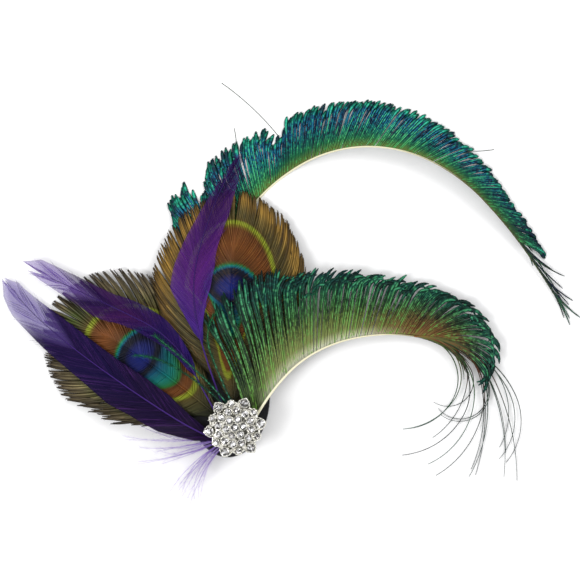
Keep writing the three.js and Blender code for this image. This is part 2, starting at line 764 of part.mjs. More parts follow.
// The setting is one cast piece: a star plate, a low dome and a cup for each stone.
function settingMesh(material) {
  const star = new THREE.Shape();
  const corners = STAR_POINTS * 4;
  const reach = { long: 1, short: 0.885, valley: 0.74 };
  for (let k = 0; k < corners; k += 1) {
    const kind = k % 2 ? "valley" : k % 4 ? "short" : "long";
    const turn = rad(STAR_PHASE + (360 * k) / corners);
    const out = reach[kind] * BROOCH_RADIUS;
    if (k === 0) star.moveTo(out * Math.cos(turn), out * Math.sin(turn));
    else star.lineTo(out * Math.cos(turn), out * Math.sin(turn));
  }
  const plate = new THREE.ExtrudeGeometry(star, { depth: BROOCH_PLATE, bevelEnabled: false });
  plate.translate(0, -BROOCH_DROP, BROOCH_SEAT);
  const dome = new THREE.CylinderGeometry(
    0.34 * BROOCH_RADIUS,
    0.66 * BROOCH_RADIUS,
    0.22 * BROOCH_RADIUS,
    12,
  );
  dome.rotateX(Math.PI / 2).translate(0, -BROOCH_DROP, BROOCH_SEAT + 0.13 * BROOCH_RADIUS);
  const cups = [];
  const bores = [];
  for (const ring of rings) {
    const diameter = ring.stone * BROOCH_RADIUS;
    const bore = (diameter / 2 + STONE_CLEARANCE) / Math.cos(Math.PI / CUP_SIDES);
    const height = girdleHeight(diameter) + stoneCut(diameter).girdle;
    for (let k = 0; k < ring.count; k += 1) {
      const matrix = seatMatrix(ring, k);
      cups.push(solidOf(standing(bore + CUP_WALL, height, CUP_SIDES).applyMatrix4(matrix)));
      const hole = standing(bore, height, CUP_SIDES).translate(0, 0, CUP_WALL);
      bores.push(solidOf(hole.applyMatrix4(matrix)));
    }
  }
  const body = joined([solidOf(plate), solidOf(dome), ...cups]);
  return meshed("brooch_setting", geometryOf(body.subtract(joined(bores))), material);
}

function stoneMeshes(material) {
  const meshes = [];
  for (const ring of rings) {
    const diameter = ring.stone * BROOCH_RADIUS;
    for (let k = 0; k < ring.count; k += 1) {
      const geometry = stoneGeometry(diameter);
      geometry.translate(0, 0, girdleHeight(diameter)).applyMatrix4(seatMatrix(ring, k));
      const number = ring.count > 1 ? "_" + String(k + 1) : "";
      meshes.push(meshed("stone_" + ring.name + number, geometry, material));
    }
  }
  return meshes;
}

const finish = (color, roughness, metalness) =>
  new THREE.MeshStandardMaterial({ color, roughness, metalness });
const steel = finish(0xb8bbc0, 0.35, 0.9);
const felt = finish(0x0b0a0d, 0.95, 0);
const swordHerl = finish(0x0d5c52, 0.45, 0.15);
const eyeHerl = finish(0x5a4a1c, 0.5, 0.15);
const purpleDye = finish(0x35176b, 0.6, 0);
const lilacDown = finish(0xa98ccb, 0.8, 0);
const silver = finish(0xe6e2d2, 0.2, 1);
const crystal = finish(0xf4f4f8, 0.05, 0);

const ornament = new THREE.Group();
ornament.add(
  clipMesh(steel),
  padMesh(felt),
  featherMesh(upperSword, swordHerl),
  featherMesh(leftEye, eyeHerl),
  strandsMesh(downTuft, lilacDown),
  featherMesh(uprightEye, eyeHerl),
  featherMesh(lowerSword, swordHerl),
  featherMesh(highPurple, purpleDye),
  featherMesh(uprightPurple, purpleDye),
  featherMesh(lowPurple, purpleDye),
  strandsMesh(greenHerls, swordHerl),
  settingMesh(silver),
  ...stoneMeshes(crystal),
);

export default ornament;
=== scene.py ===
import math

import bpy
import numpy as np
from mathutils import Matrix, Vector


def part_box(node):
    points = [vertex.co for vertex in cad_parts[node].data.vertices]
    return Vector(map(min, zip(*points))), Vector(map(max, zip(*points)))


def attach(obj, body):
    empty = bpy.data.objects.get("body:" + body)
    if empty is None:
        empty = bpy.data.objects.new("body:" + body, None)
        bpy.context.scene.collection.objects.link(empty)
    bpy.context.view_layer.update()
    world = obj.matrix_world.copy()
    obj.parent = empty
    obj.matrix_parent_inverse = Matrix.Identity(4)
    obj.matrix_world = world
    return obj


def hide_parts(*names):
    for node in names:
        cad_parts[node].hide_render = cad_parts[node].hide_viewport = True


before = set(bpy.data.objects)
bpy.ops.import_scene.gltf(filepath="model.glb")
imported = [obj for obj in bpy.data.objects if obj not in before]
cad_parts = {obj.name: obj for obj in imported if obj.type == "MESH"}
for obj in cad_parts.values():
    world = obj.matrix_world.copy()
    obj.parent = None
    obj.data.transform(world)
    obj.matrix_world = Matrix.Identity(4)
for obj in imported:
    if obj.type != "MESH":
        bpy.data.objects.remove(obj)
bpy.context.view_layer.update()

# A peacock-feather hair ornament, lying face up on a white table under soft studio light.
# Everything is in metres in the part's own frame: +Z up, the origin in the middle of the clip's
# flat underside, +X to the right of the photograph and +Y up it.

MM = 0.001

# Studio
# A white table under a broad overhead light, with a darker band at the horizon so that polished
# metal and stones have something to reflect. The camera looks straight down through a long lens.
PHOTO_PIXELS = 580
PIXEL = 0.4 * MM
ORIGIN_PIXEL = (235, 395)
CAMERA_HEIGHT = 1.5
FRAMED_LEVEL = 8 * MM
SENSOR = 36.0
TABLE_HALF = 1.5
LAMP_SIZE = 0.5

middle = [(PHOTO_PIXELS / 2 - ORIGIN_PIXEL[0]) * PIXEL, (ORIGIN_PIXEL[1] - PHOTO_PIXELS / 2) * PIXEL]
camera_data = bpy.data.cameras.new("camera")
camera_data.sensor_width = SENSOR
camera_data.lens = SENSOR * CAMERA_HEIGHT / (PHOTO_PIXELS * PIXEL)
camera_data.clip_end = 10
camera = bpy.data.objects.new("camera", camera_data)
camera.location = (middle[0], middle[1], CAMERA_HEIGHT + FRAMED_LEVEL)
bpy.context.collection.objects.link(camera)
bpy.context.scene.camera = camera
bpy.context.scene.view_settings.view_transform = "Standard"


def plug(tree, node, inputs):
    """Sets a node's inputs by name, or by number as i0, i1 and so on. Where the value is another
    node's output, the two are linked."""
    for key, value in inputs.items():
        socket = node.inputs[int(key[1:])] if key[1:].isdigit() else node.inputs[key.replace("_", " ")]
        if isinstance(value, bpy.types.NodeSocket):
            tree.links.new(value, socket)
        else:
            socket.default_value = value


def node_maker(tree):
    """Returns a function that adds a node of a kind, sets its inputs, and gives its first output
    or the one that is asked for."""

    def add(kind, operation=None, out=0, **inputs):
        node = tree.nodes.new("ShaderNode" + kind)
        if operation:
            node.operation = operation
        plug(tree, node, inputs)
        return node.outputs[out]

    return add


def light(red, green, blue):
    """A screen colour from 0 to 255 as the linear light that a shader takes."""
    share = np.array([red, green, blue]) / 255
    linear = np.where(share <= 0.04045, share / 12.92, ((share + 0.055) / 1.055) ** 2.4)
    return (*(float(v) for v in linear), 1)


def ramp(add, value, rows, screen=True):
    """A colour ramp over a value. A row holds a place from 0 to 1 and a colour: a screen colour
    from 0 to 255, or else the light itself."""
    colour_ramp = add("ValToRGB", Fac=value)
    stops = colour_ramp.node.color_ramp.elements
    while len(stops) > 1:
        stops.remove(stops[-1])
    for number, (place, *colour) in enumerate(rows):
        stop = stops.new(place) if number else stops[0]
        stop.position = place
        stop.color = light(*colour) if screen else (*colour, 1)
    return colour_ramp


def mix(add, share, first, second):
    """A colour that runs from the first to the second as the share goes from 0 to 1."""
    return add("MixRGB", Fac=share, Color1=first, Color2=second)


world = bpy.data.worlds.new("studio")
world.use_nodes = True
bpy.context.scene.world = world
add = node_maker(world.node_tree)
direction = add("TexCoord", out="Generated")
height = add("SeparateXYZ", out="Z", Vector=direction)
sky = ramp(add, height, [
    (0.0, 0.6, 0.6, 0.61), (0.1, 0.3, 0.3, 0.3), (0.4, 0.45, 0.45, 0.46), (0.62, 1.0, 1.0, 1.0)],
    screen=False)
patches = add("TexNoise", Vector=direction, Scale=3.5, Detail=0.0)
room = ramp(add, patches, [
    (0.44, 0.02, 0.02, 0.025), (0.5, 0.5, 0.47, 0.42), (0.56, 1.0, 1.0, 1.0)], screen=False)
low = add("MapRange", Value=height, From_Min=0.75, From_Max=0.45, To_Max=0.4)
background = world.node_tree.nodes["Background"]
plug(world.node_tree, background, {"Color": mix(add, low, sky, room), "Strength": 0.9})


def softbox(name, place, watts):
    """A square light that faces the middle of the ornament."""
    data = bpy.data.lights.new(name, "AREA")
    data.size = LAMP_SIZE
    data.energy = watts
    lamp = bpy.data.objects.new(name, data)
    lamp.location = place
    aim = Vector((middle[0], middle[1], 0)) - Vector(place)
    lamp.rotation_euler = aim.to_track_quat("-Z", "Y").to_euler()
    bpy.context.collection.objects.link(lamp)


softbox("left_softbox", (-0.75, -0.35, 0.85), 7.5)
softbox("right_softbox", (0.8, 0.6, 0.9), 5.5)


def new_mesh(name, points, faces, smooth=False):
    """An object from an array of points and a list of arrays of faces with equal corner counts."""
    mesh = bpy.data.meshes.new(name)
    counts = np.concatenate([np.full(len(f), f.shape[1]) for f in faces])
    corners = np.concatenate([f.ravel() for f in faces])
    mesh.vertices.add(len(points))
    mesh.vertices.foreach_set("co", np.ascontiguousarray(points, dtype=np.float32).ravel())
    mesh.loops.add(len(corners))
    mesh.loops.foreach_set("vertex_index", corners.astype(np.int32))
    mesh.polygons.add(len(counts))
    mesh.polygons.foreach_set("loop_start", np.concatenate([[0], np.cumsum(counts)[:-1]]).astype(np.int32))
    mesh.polygons.foreach_set("use_smooth", np.full(len(counts), smooth))
    mesh.update(calc_edges=True)
    mesh.validate()
    piece = bpy.data.objects.new(name, mesh)
    bpy.context.collection.objects.link(piece)
    return piece


def new_material(name, piece=None):
    """A node material, its node maker, and a function that sets or links the inputs of its
    Principled shader. It goes on the piece if one is given."""
    material = bpy.data.materials.new(name)
    material.use_nodes = True
    tree = material.node_tree
    if piece is not None:
        piece.data.materials.append(material)

    def surface(**inputs):
        plug(tree, tree.nodes["Principled BSDF"], inputs)

    return material, node_maker(tree), surface


corners = np.array([[-1, -1, 0], [1, -1, 0], [1, 1, 0], [-1, 1, 0]]) * TABLE_HALF
table = new_mesh("table", corners, [np.array([[0, 1, 2, 3]])])
_, _, surface = new_material("table_white", table)
surface(Base_Color=(0.93, 0.93, 0.935, 1), Roughness=0.9, Specular_IOR_Level=0.1)

# Hair clip
# A flat clip stamped and bent from spring steel, glued under the pad. Its jaws are shut.
# It is hidden in the photograph, so it keeps the plain form of the solid model.
BRUSHING = (4000, 90, 4000)
clip_steel, add, surface = new_material("clip_steel")
stretched = add("Mapping", Vector=add("TexCoord", out="Object"), Scale=BRUSHING)
brushed = add("TexNoise", Vector=stretched, Scale=1.0, Detail=4.0)
surface(
    Base_Color=ramp(add, brushed, [(0.3, 0.38, 0.39, 0.41), (0.7, 0.6, 0.61, 0.63)], screen=False),
    Roughness=add("MapRange", Value=brushed, To_Min=0.25, To_Max=0.45), Metallic=1.0)
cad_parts["hair_clip"].data.materials.clear()
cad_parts["hair_clip"].data.materials.append(clip_steel)

# Felt pad
# An oval die-cut from black craft felt. The clip is glued under it and the feather roots on it.
# Its cut edge is slightly soft and sheds a few short fibres.
PAD_SOFT_EDGE = 0.35 * MM
PAD_SEGMENTS = 96
PAD_FIBRES = 900
FIBRE_REACH = (0.15, 0.4)
FIBRE_WIDTH = 0.05 * MM
pad_low, pad_high = (np.array(corner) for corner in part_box("felt_pad"))
pad_half = (pad_high - pad_low) / 2
pad_middle = (pad_high + pad_low) / 2


def circle(count):
    """The cosines and sines of even angles round a circle."""
    spin = np.linspace(0, 2 * np.pi, count, endpoint=False)
    return np.cos(spin), np.sin(spin)


def hoops(rings, sides, closed=False):
    """Quads between each ring of points and the next, and between the last ring and the first
    where the shape is closed."""
    i = np.arange(rings if closed else rings - 1)[:, None] * sides
    n = (i + sides) % (rings * sides)
    j = np.arange(sides)[None]
    k = (j + 1) % sides
    return np.stack([i + j, i + k, n + k, n + j], axis=-1).reshape(-1, 4)


def end_fans(rings, sides):
    """Triangles that close the first ring to the point kept after all rings, and the last ring
    to the point after that."""
    count = rings * sides
    j = np.arange(sides)
    k = (j + 1) % sides
    first = np.stack([np.full(sides, count), k, j], axis=1)
    last = np.stack([np.full(sides, count + 1), count - sides + j, count - sides + k], axis=1)
    return np.concatenate([first, last])


def oval_felt(edge, sides):
    """A low oval: rings of points whose radius follows a rounded rim from the middle of the
    underside, out round the edge and back to the middle of the top."""
    turn = np.linspace(0, np.pi, 9)
    radius = np.concatenate([[0.4, 0.7], 1 - edge * (1 - np.sin(turn)) / pad_half[0], [0.7, 0.4]])
    level = np.concatenate([[-1, -1], -np.cos(turn), [1, 1]]) * pad_half[2]
    cosines, sines = circle(sides)
    ring = np.stack([cosines * pad_half[0], sines * pad_half[1], np.zeros(sides)], axis=1)
    points = radius[:, None, None] * ring
    points[..., 2] = level[:, None]
    ends = [[0, 0, -pad_half[2]], [0, 0, pad_half[2]]]
    points = np.concatenate([points.reshape(-1, 3), ends]) + pad_middle
    return points, [hoops(len(radius), sides), end_fans(len(radius), sides)]


def spikes(feet, tips, across, width):
    """Closed thin spikes: three points round each foot, half a width either way along a
    direction and half a width down, and one at the tip."""
    side = across * (width / 2)
    points = np.stack([feet - side, feet + side, feet - [0, 0, width / 2], tips], axis=1)
    base = 4 * np.arange(len(feet))[:, None]
    inward = np.cross(points[:, 1] - points[:, 0], points[:, 2] - points[:, 0])
    turned = np.einsum("ij,ij->i", inward, tips - feet) < 0
    shape = np.array([[0, 2, 1], [0, 1, 3], [1, 2, 3], [2, 0, 3]])
    faces = np.where(turned[:, None, None], shape[:, ::-1][None], shape[None])
    return points.reshape(-1, 3), (base[:, :, None] + faces).reshape(-1, 3)


felt_points, felt_faces = oval_felt(PAD_SOFT_EDGE, PAD_SEGMENTS)
dice = np.random.default_rng(7)
spin = dice.uniform(0, 2 * np.pi, PAD_FIBRES)
level = np.zeros(PAD_FIBRES)
rim = np.stack([np.cos(spin) * pad_half[0], np.sin(spin) * pad_half[1], level], axis=1) + pad_middle
rim[:, 2] += dice.uniform(-0.7, 0.7, PAD_FIBRES) * pad_half[2]
outward = np.stack([np.cos(spin), np.sin(spin), dice.uniform(-0.6, 0.6, PAD_FIBRES)], axis=1)
outward += dice.normal(0, 0.5, outward.shape)
fibre_tips = rim + outward * dice.uniform(*FIBRE_REACH, PAD_FIBRES)[:, None] * MM
along_rim = np.stack([-np.sin(spin), np.cos(spin), level], axis=1)
fibre_points, fibre_faces = spikes(rim, fibre_tips, along_rim, FIBRE_WIDTH)
pad = new_mesh("black_felt", np.concatenate([felt_points, fibre_points]),
               [*felt_faces, fibre_faces + len(felt_points)], smooth=True)
_, add, surface = new_material("felt_black", pad)
matted = add("TexNoise", Vector=add("TexCoord", out="Object"), Scale=1800.0, Detail=6.0, Roughness=0.7)
surface(
    Base_Color=ramp(add, matted, [(0.3, 0.004, 0.004, 0.005), (0.75, 0.02, 0.02, 0.023)], screen=False),
    Normal=add("Bump", Height=matted, Strength=0.6, Distance=0.2 * MM),
    Roughness=1.0, Specular_IOR_Level=0.1, Sheen_Weight=0.15, Sheen_Roughness=0.6)
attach(pad, "root")
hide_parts("felt_pad")

# Upper sword plume
# A peacock sword feather: an ivory quill with long herls on its outer side only. Each herl is a
# thin flat barb with fine barbules, and neighbours cling in small locks. Feathers lie in layers on
# the pad, with glue between, and drape to the table as they leave it.
QUILL_ROOT = 0.55 * MM
QUILL_TIP = 0.16 * MM
GLUE_GAP = 0.3 * MM
LAYER = 2 * QUILL_ROOT + GLUE_GAP
FIRST_LAYER = pad_high[2] + GLUE_GAP + QUILL_ROOT
REST = 0.42 * MM
DRAPE_START = 28 * MM
DRAPE_END = 85.3 * MM
ARCH_RUN = 20 * MM
QUILL_END = 0.97
BROOCH_RADIUS = 12.9 * MM
BROOCH_DROP = 12.8 * MM
TIP_CLEARANCE = 0.05 * MM
CURL_FROM = 0.72
# Painted shade on a spike: dark at its three foot points, none at its tip.
SPIKE_EDGE_SHADE = [0.8, 0.8, 0.8, 0.0]


def ease(share):
    """Runs from 0 to 1 with level ends: three times the square less twice the cube."""
    share = np.clip(share, 0, 1)
    return share * share * (3 - 2 * share)


def layer_height(x, y, layer):
    """Height of a layer: level over the pad, easing down to the table where the feathers end."""
    sunk = ease((np.hypot(x, y) - DRAPE_START) / (DRAPE_END - DRAPE_START))
    return FIRST_LAYER + (REST - FIRST_LAYER) * sunk + layer * LAYER


def walk(x, y, heading, step):
    """Places in plan along each line: its start, then the sum of its steps, each along its own
    heading."""
    start = np.zeros((*heading.shape[:-1], 1))
    east = np.concatenate([start, np.cumsum(np.cos(heading) * step, axis=-1)], axis=-1)
    north = np.concatenate([start, np.cumsum(np.sin(heading) * step, axis=-1)], axis=-1)
    return x + east, y + north


class Shaft:
    """A feather's quill: a line in plan that starts at a share of the brooch's radius from its
    centre. Rows hold a share of its length, the heading there, and the lift as a share of the
    feather's rise. It lifts only beyond the place where the drape ends."""

    def __init__(self, root, length, layer, rows, rise=0.0):
        self.length, self.layer, self.rise = length, layer, rise
        self.at = np.array([row[0] for row in rows])
        self.turns = np.radians([row[1] for row in rows])
        self.lifts = np.array([row[2] if len(row) > 2 else 0 for row in rows])
        self.fine = np.linspace(0, 1, 801)
        between = self.heading((self.fine[1:] + self.fine[:-1]) / 2)
        self.x, self.y = walk(root[0] * BROOCH_RADIUS, root[1] * BROOCH_RADIUS - BROOCH_DROP,
                              between, length / (len(self.fine) - 1))

    def heading(self, at):
        """The heading in radians at a share of the length."""
        return np.interp(at, self.at, self.turns)

    def plan(self, at):
        """The place in plan at a share of the length."""
        return np.interp(at, self.fine, self.x), np.interp(at, self.fine, self.y)

    def lift(self, at):
        """How far it stands over its layer: the row's lift, eased in beyond the drape."""
        clear = ease((np.hypot(*self.plan(at)) - DRAPE_END) / ARCH_RUN)
        return np.interp(at, self.at, self.lifts) * self.rise * clear

    def place(self, at):
        """The point at a share of the length, on its layer and with its lift."""
        x, y = self.plan(at)
        return np.stack([x, y, layer_height(x, y, self.layer) + self.lift(at)], axis=-1)


def directions(lines):
    """Along each line of points, the unit direction ahead and the level one across it."""
    ahead = np.gradient(lines, axis=1)
    ahead /= np.linalg.norm(ahead, axis=-1, keepdims=True) + 1e-12
    across = np.stack([-ahead[..., 1], ahead[..., 0], np.zeros(ahead.shape[:2])], axis=-1)
    across /= np.linalg.norm(across, axis=-1, keepdims=True) + 1e-12
    return ahead, across


def tubes(lines, radii, sides=5):
    """Round rods along lines of points (rods by steps by 3): each ring is a regular polygon
    across the line's heading, and both ends are closed by a fan to a middle point. Gives the
    points, the faces and each point's share of its rod's length."""
    rods, steps = lines.shape[:2]
    ahead, across = directions(lines)
    upward = np.cross(ahead, across)
    cosines, sines = circle(sides)
    ring = across[:, :, None] * cosines[:, None] + upward[:, :, None] * sines[:, None]
    rings = lines[:, :, None] + ring * radii[:, :, None, None]
    points = np.concatenate([rings.reshape(rods, steps * sides, 3), lines[:, [0, -1]]], axis=1)
    base = np.arange(rods)[:, None, None] * points.shape[1]
    faces = [(base + hoops(steps, sides)).reshape(-1, 4), (base + end_fans(steps, sides)).reshape(-1, 3)]
    share = np.concatenate([np.repeat(np.linspace(0, 1, steps), sides), [0, 1]])
    return points.reshape(-1, 3), faces, np.tile(share, rods)


def reader(steps, owner, share):
    """For points at a share of the line that owns each: the step before each point, and a
    function that reads values kept at even steps of the lines."""
    step = share * (steps - 1)
    low = np.clip(step.astype(int), 0, steps - 2)
    part = (step - low)[:, None]
    return low, lambda values: values[owner, low] * (1 - part) + values[owner, low + 1] * part


def leaning_spikes(feet, ahead, across, lean, lift, size, width, apart=0.0):
    """Spikes on the two sides of a line by turns, leaning ahead, with their tips kept above the
    table."""
    flank = np.where(np.arange(len(feet)) % 2, 1.0, -1.0)
    way = ahead * np.cos(lean)[:, None] + across * (flank * np.sin(lean))[:, None]
    way[:, 2] += lift
    feet = feet + across * (flank * apart)[:, None]
    tips = feet + way * size[:, None]
    tips[:, 2] = np.maximum(tips[:, 2], TIP_CLEARANCE)
    return spikes(feet, tips, ahead, width)


class Barbs:
    """Barbs that grow from one side of a shaft. Each leaves the shaft at an angle, bends evenly
    by its turn, curls by its hook over its last part, and comes down to its layer as it goes.
    Rows hold the share along the shaft, angle, turn, and reach as a share of the longest.
    Groups of barbs draw together at their tips into locks."""

    def __init__(self, shaft, side, rows, longest, count, steps=12, seed=1, lock=5, gather=0.5,
                 loose=0.03, ragged=0.06, hook=0.0, stagger=0.12 * MM):
        table_of = [np.array(column) for column in zip(*rows)]
        draw = np.random.default_rng(seed)
        low, high = rows[0][0], rows[-1][0]
        self.side, self.count, self.steps = side, count, steps
        at = np.linspace(low, high, count) + draw.normal(0, 0.2, count) * (high - low) / count
        self.at = np.clip(at, 0, 1)
        angle, turn, reach = (np.interp(self.at, table_of[0], column) for column in table_of[1:])
        self.reach = reach * longest * (1 - np.abs(draw.normal(0, ragged, count)))
        sizes = draw.integers(max(2, lock - 2), lock + 3, count)
        owner = np.repeat(np.arange(count), sizes)[:count]
        size = sizes[owner]
        start = np.concatenate([[0], np.cumsum(sizes)])[owner]
        offset = (np.arange(count) - start + 0.5) / size - 0.5
        spread = size * (high - low) / count * shaft.length
        drawn = gather * offset * spread / np.maximum(self.reach, MM)
        self.shade = draw.uniform(0, 1, count)
        self.barb = draw.uniform(0, 1, count)
        share = np.linspace(0, 1, steps)
        mid = (share[1:] + share[:-1]) / 2
        late = np.clip((mid - CURL_FROM) / (1 - CURL_FROM), 0, 1)
        curl = np.radians(hook) * late * draw.uniform(0.4, 1.4, count)[:, None]
        wander = draw.normal(0, loose, count)[:, None] * 2 * mid
        bend = np.radians(angle)[:, None] + np.radians(turn)[:, None] * mid + drawn[:, None] * 2 * mid
        heading = shaft.heading(self.at)[:, None] + side * (bend + curl + wander)
        root = shaft.place(self.at)
        x, y = walk(root[:, :1], root[:, 1:2], heading, self.reach[:, None] / (steps - 1))
        level = layer_height(x, y, shaft.layer) + shaft.lift(self.at)[:, None] * (1 - share)
        level = level + draw.uniform(-1, 1, count)[:, None] * stagger * ease(share * 4)
        self.lines = np.stack([x, y, level], axis=-1)
        self.share = np.broadcast_to(share, (count, steps))
        self.ahead, self.across = directions(self.lines)

    def values(self, owner, share):
        """What the materials read: places along the shaft and out along the barb, the distance out
        in millimetres, and two numbers of the barb's own."""
        return {"along": self.at[owner], "out": share, "far": share * self.reach[owner] / MM,
                "shade": self.shade[owner], "barb": self.barb[owner]}

    def ribbons(self, widths, thickness=0.08 * MM, tilt=0.25):
        """Flat strips with a low ridge: left edge, ridge, right edge and keel at each step, the
        edges tipped so that each barb laps its neighbour."""
        tipped = self.across * (widths[..., None] / 2)
        tipped[..., 2] += self.side * tilt * widths / 2
        up = np.zeros_like(tipped)
        up[..., 2] = np.minimum(thickness, widths * 0.4)
        offsets = np.stack([tipped, up, -tipped, -up], axis=2)
        points = self.lines[:, :, None] + offsets
        end = (self.steps - 1) * 4
        caps = np.array([[0, 1, 2, 3], [end + 3, end + 2, end + 1, end]])
        strip = np.concatenate([hoops(self.steps, 4)[:, [1, 0, 3, 2]], caps])
        faces = (np.arange(self.count)[:, None, None] * self.steps * 4 + strip).reshape(-1, 4)
        owner = np.repeat(np.arange(self.count), self.steps * 4)
        values = self.values(owner, np.repeat(self.share.ravel(), 4))
        # Painted shade between barbs: the edges and keel take it, the ridge does not.
        values["edge"] = np.tile([1.0, 0.0, 1.0, 1.0], self.count * self.steps)
        return points.reshape(-1, 3), faces, values

    def sheet(self, thickness=0.06 * MM):
        """A closed thin sheet through the barbs, for a vane whose barbs hold together: the grid of
        barbs and steps, the same grid a little lower, and a wall round the two."""
        half = self.count * self.steps
        points = np.concatenate([self.lines, self.lines - [0, 0, thickness]]).reshape(-1, 3)
        grid = np.arange(half).reshape(self.count, self.steps)
        top = np.stack([grid[:-1, :-1], grid[:-1, 1:], grid[1:, 1:], grid[1:, :-1]], axis=-1).reshape(-1, 4)
        rim = np.concatenate([grid[0, :-1], grid[:-1, -1], grid[-1, :0:-1], grid[:0:-1, 0]])
        after = np.roll(rim, -1)
        wall = np.stack([after, rim, rim + half, after + half], axis=1)
        faces = np.concatenate([top, top[:, ::-1] + half, wall])
        owner = np.repeat(np.arange(self.count), self.steps)
        values = self.values(np.tile(owner, 2), np.tile(self.share.ravel(), 2))
        values["clear"] = np.ones(len(points))
        return points, faces[:, ::-self.side], values

    def barbules(self, per_mm, length, angle=38, start=0.2, end=1.0, width=0.12 * MM, seed=2, rise=0.12,
                 tip_growth=0.0):
        """Fine spikes along both edges of every barb, leaning towards its tip. The count of each
        barb goes by its length, and those near the tip are longer by the growth."""
        draw = np.random.default_rng(seed)
        many = np.maximum(1, (self.reach / MM * per_mm * (end - start)).astype(int))
        owner = np.repeat(np.arange(self.count), many)
        share = draw.uniform(start, end, len(owner))
        read = reader(self.steps, owner, share)[1]
        lean = np.radians(angle + draw.normal(0, 8, len(owner)))
        bushy = 1 + tip_growth * ease((share - CURL_FROM) / 0.2)
        size = length * bushy * draw.uniform(0.6, 1.1, len(owner))
        lift = draw.normal(0, rise, len(owner))
        feet, ahead, across = read(self.lines), read(self.ahead), read(self.across)
        points, faces = leaning_spikes(feet, ahead, across, lean, lift, size, width, apart=0.04 * MM)
        values = self.values(np.repeat(owner, 4), np.repeat(share, 4))
        values["shade"] = np.clip(values["shade"] + np.repeat(draw.normal(0, 0.2, len(owner)), 4), 0, 1)
        values["edge"] = np.tile(SPIKE_EDGE_SHADE, len(owner))
        return points, faces, values


def gather_parts(name, parts):
    """One smooth object from parts that each hold points, faces and named values on the points."""
    points, faces, start = [], [], 0
    names = sorted({key for part in parts for key in part[2]})
    values = {key: [] for key in names}
    for part_points, part_faces, part_values in parts:
        points.append(part_points)
        for block in part_faces if isinstance(part_faces, list) else [part_faces]:
            faces.append(block + start)
        for key in names:
            values[key].append(part_values.get(key, np.zeros(len(part_points))))
        start += len(part_points)
    piece = new_mesh(name, np.concatenate(points), faces, smooth=True)
    for key in names:
        layer = piece.data.attributes.new(key, "FLOAT", "POINT")
        layer.data.foreach_set("value", np.concatenate(values[key]).astype(np.float32))
    return piece


def quill(shaft, root_radius=QUILL_ROOT, tip_radius=QUILL_TIP, end=1.0, steps=90):
    """The bare shaft as a round rod that thins towards its tip. Its value quill is 1."""
    at = np.linspace(0, end, steps)
    radii = root_radius + (tip_radius - root_radius) * at
    points, faces, share = tubes(shaft.place(at)[None], radii[None], sides=8)
    ones = np.ones(len(points))
    return points, faces, {"along": share * end, "quill": ones, "shade": ones / 2}


def value_of(add, name):
    """The number that the mesh stores under a name."""
    value = add("Attribute", out="Fac")
    value.node.attribute_name = name
    return value


def streaks_group():
    """A barb is a row of dark and bright dashes between edges darkened by painted shade. The dashes
    are noise along the barb that differs from barb to barb, plus the barb's own shade. The sum mixes
    a dark, a plain and a lit colour; the lit dashes are painted glints. Near the root the dark dashes fade."""
    group = bpy.data.node_groups.new("barb_streaks", "ShaderNodeTree")
    for name in ("Colour", "Dark", "Lit"):
        group.interface.new_socket(name, in_out="INPUT", socket_type="NodeSocketColor")
    for name in ("Shade", "Barb", "Far", "Out", "Edge", "Dashes", "Darkness", "Glint", "Outline"):
        group.interface.new_socket(name, in_out="INPUT", socket_type="NodeSocketFloat")
    group.interface.new_socket("Colour", in_out="OUTPUT", socket_type="NodeSocketColor")
    group.interface.new_socket("Height", in_out="OUTPUT", socket_type="NodeSocketFloat")
    add = node_maker(group)
    taken = group.nodes.new("NodeGroupInput").outputs

    def times(first, second):
        return add("Math", "MULTIPLY", i0=first, i1=second)

    spot = add("CombineXYZ", X=times(taken["Far"], taken["Dashes"]), Y=times(taken["Barb"], 97.0))
    noise = add("TexNoise", Vector=spot, Scale=1.0, Detail=2.0, Roughness=0.6)
    own = add("Math", "MULTIPLY_ADD", i0=taken["Shade"], i1=0.3, i2=-0.15)
    level = add("Math", "ADD", i0=noise, i1=own)
    dark = add("MapRange", Value=level, From_Min=0.5, From_Max=0.38)
    beyond_root = add("MapRange", Value=taken["Out"], From_Min=0.05, From_Max=0.4, To_Min=0.15)
    dark = times(times(dark, beyond_root), taken["Darkness"])
    # Painted shade along the barb's edges, between neighbouring barbs.
    dark = add("Math", "MAXIMUM", i0=dark, i1=times(taken["Edge"], taken["Outline"]))
    # Painted glints: the lit colour where the level is high.
    lit = times(add("MapRange", Value=level, From_Min=0.54, From_Max=0.66), taken["Glint"])
    streaked = mix(add, dark, mix(add, lit, taken["Colour"], taken["Lit"]), taken["Dark"])
    plug(group, group.nodes.new("NodeGroupOutput"), {"Colour": streaked, "Height": noise})
    return group


barb_streaks = streaks_group()


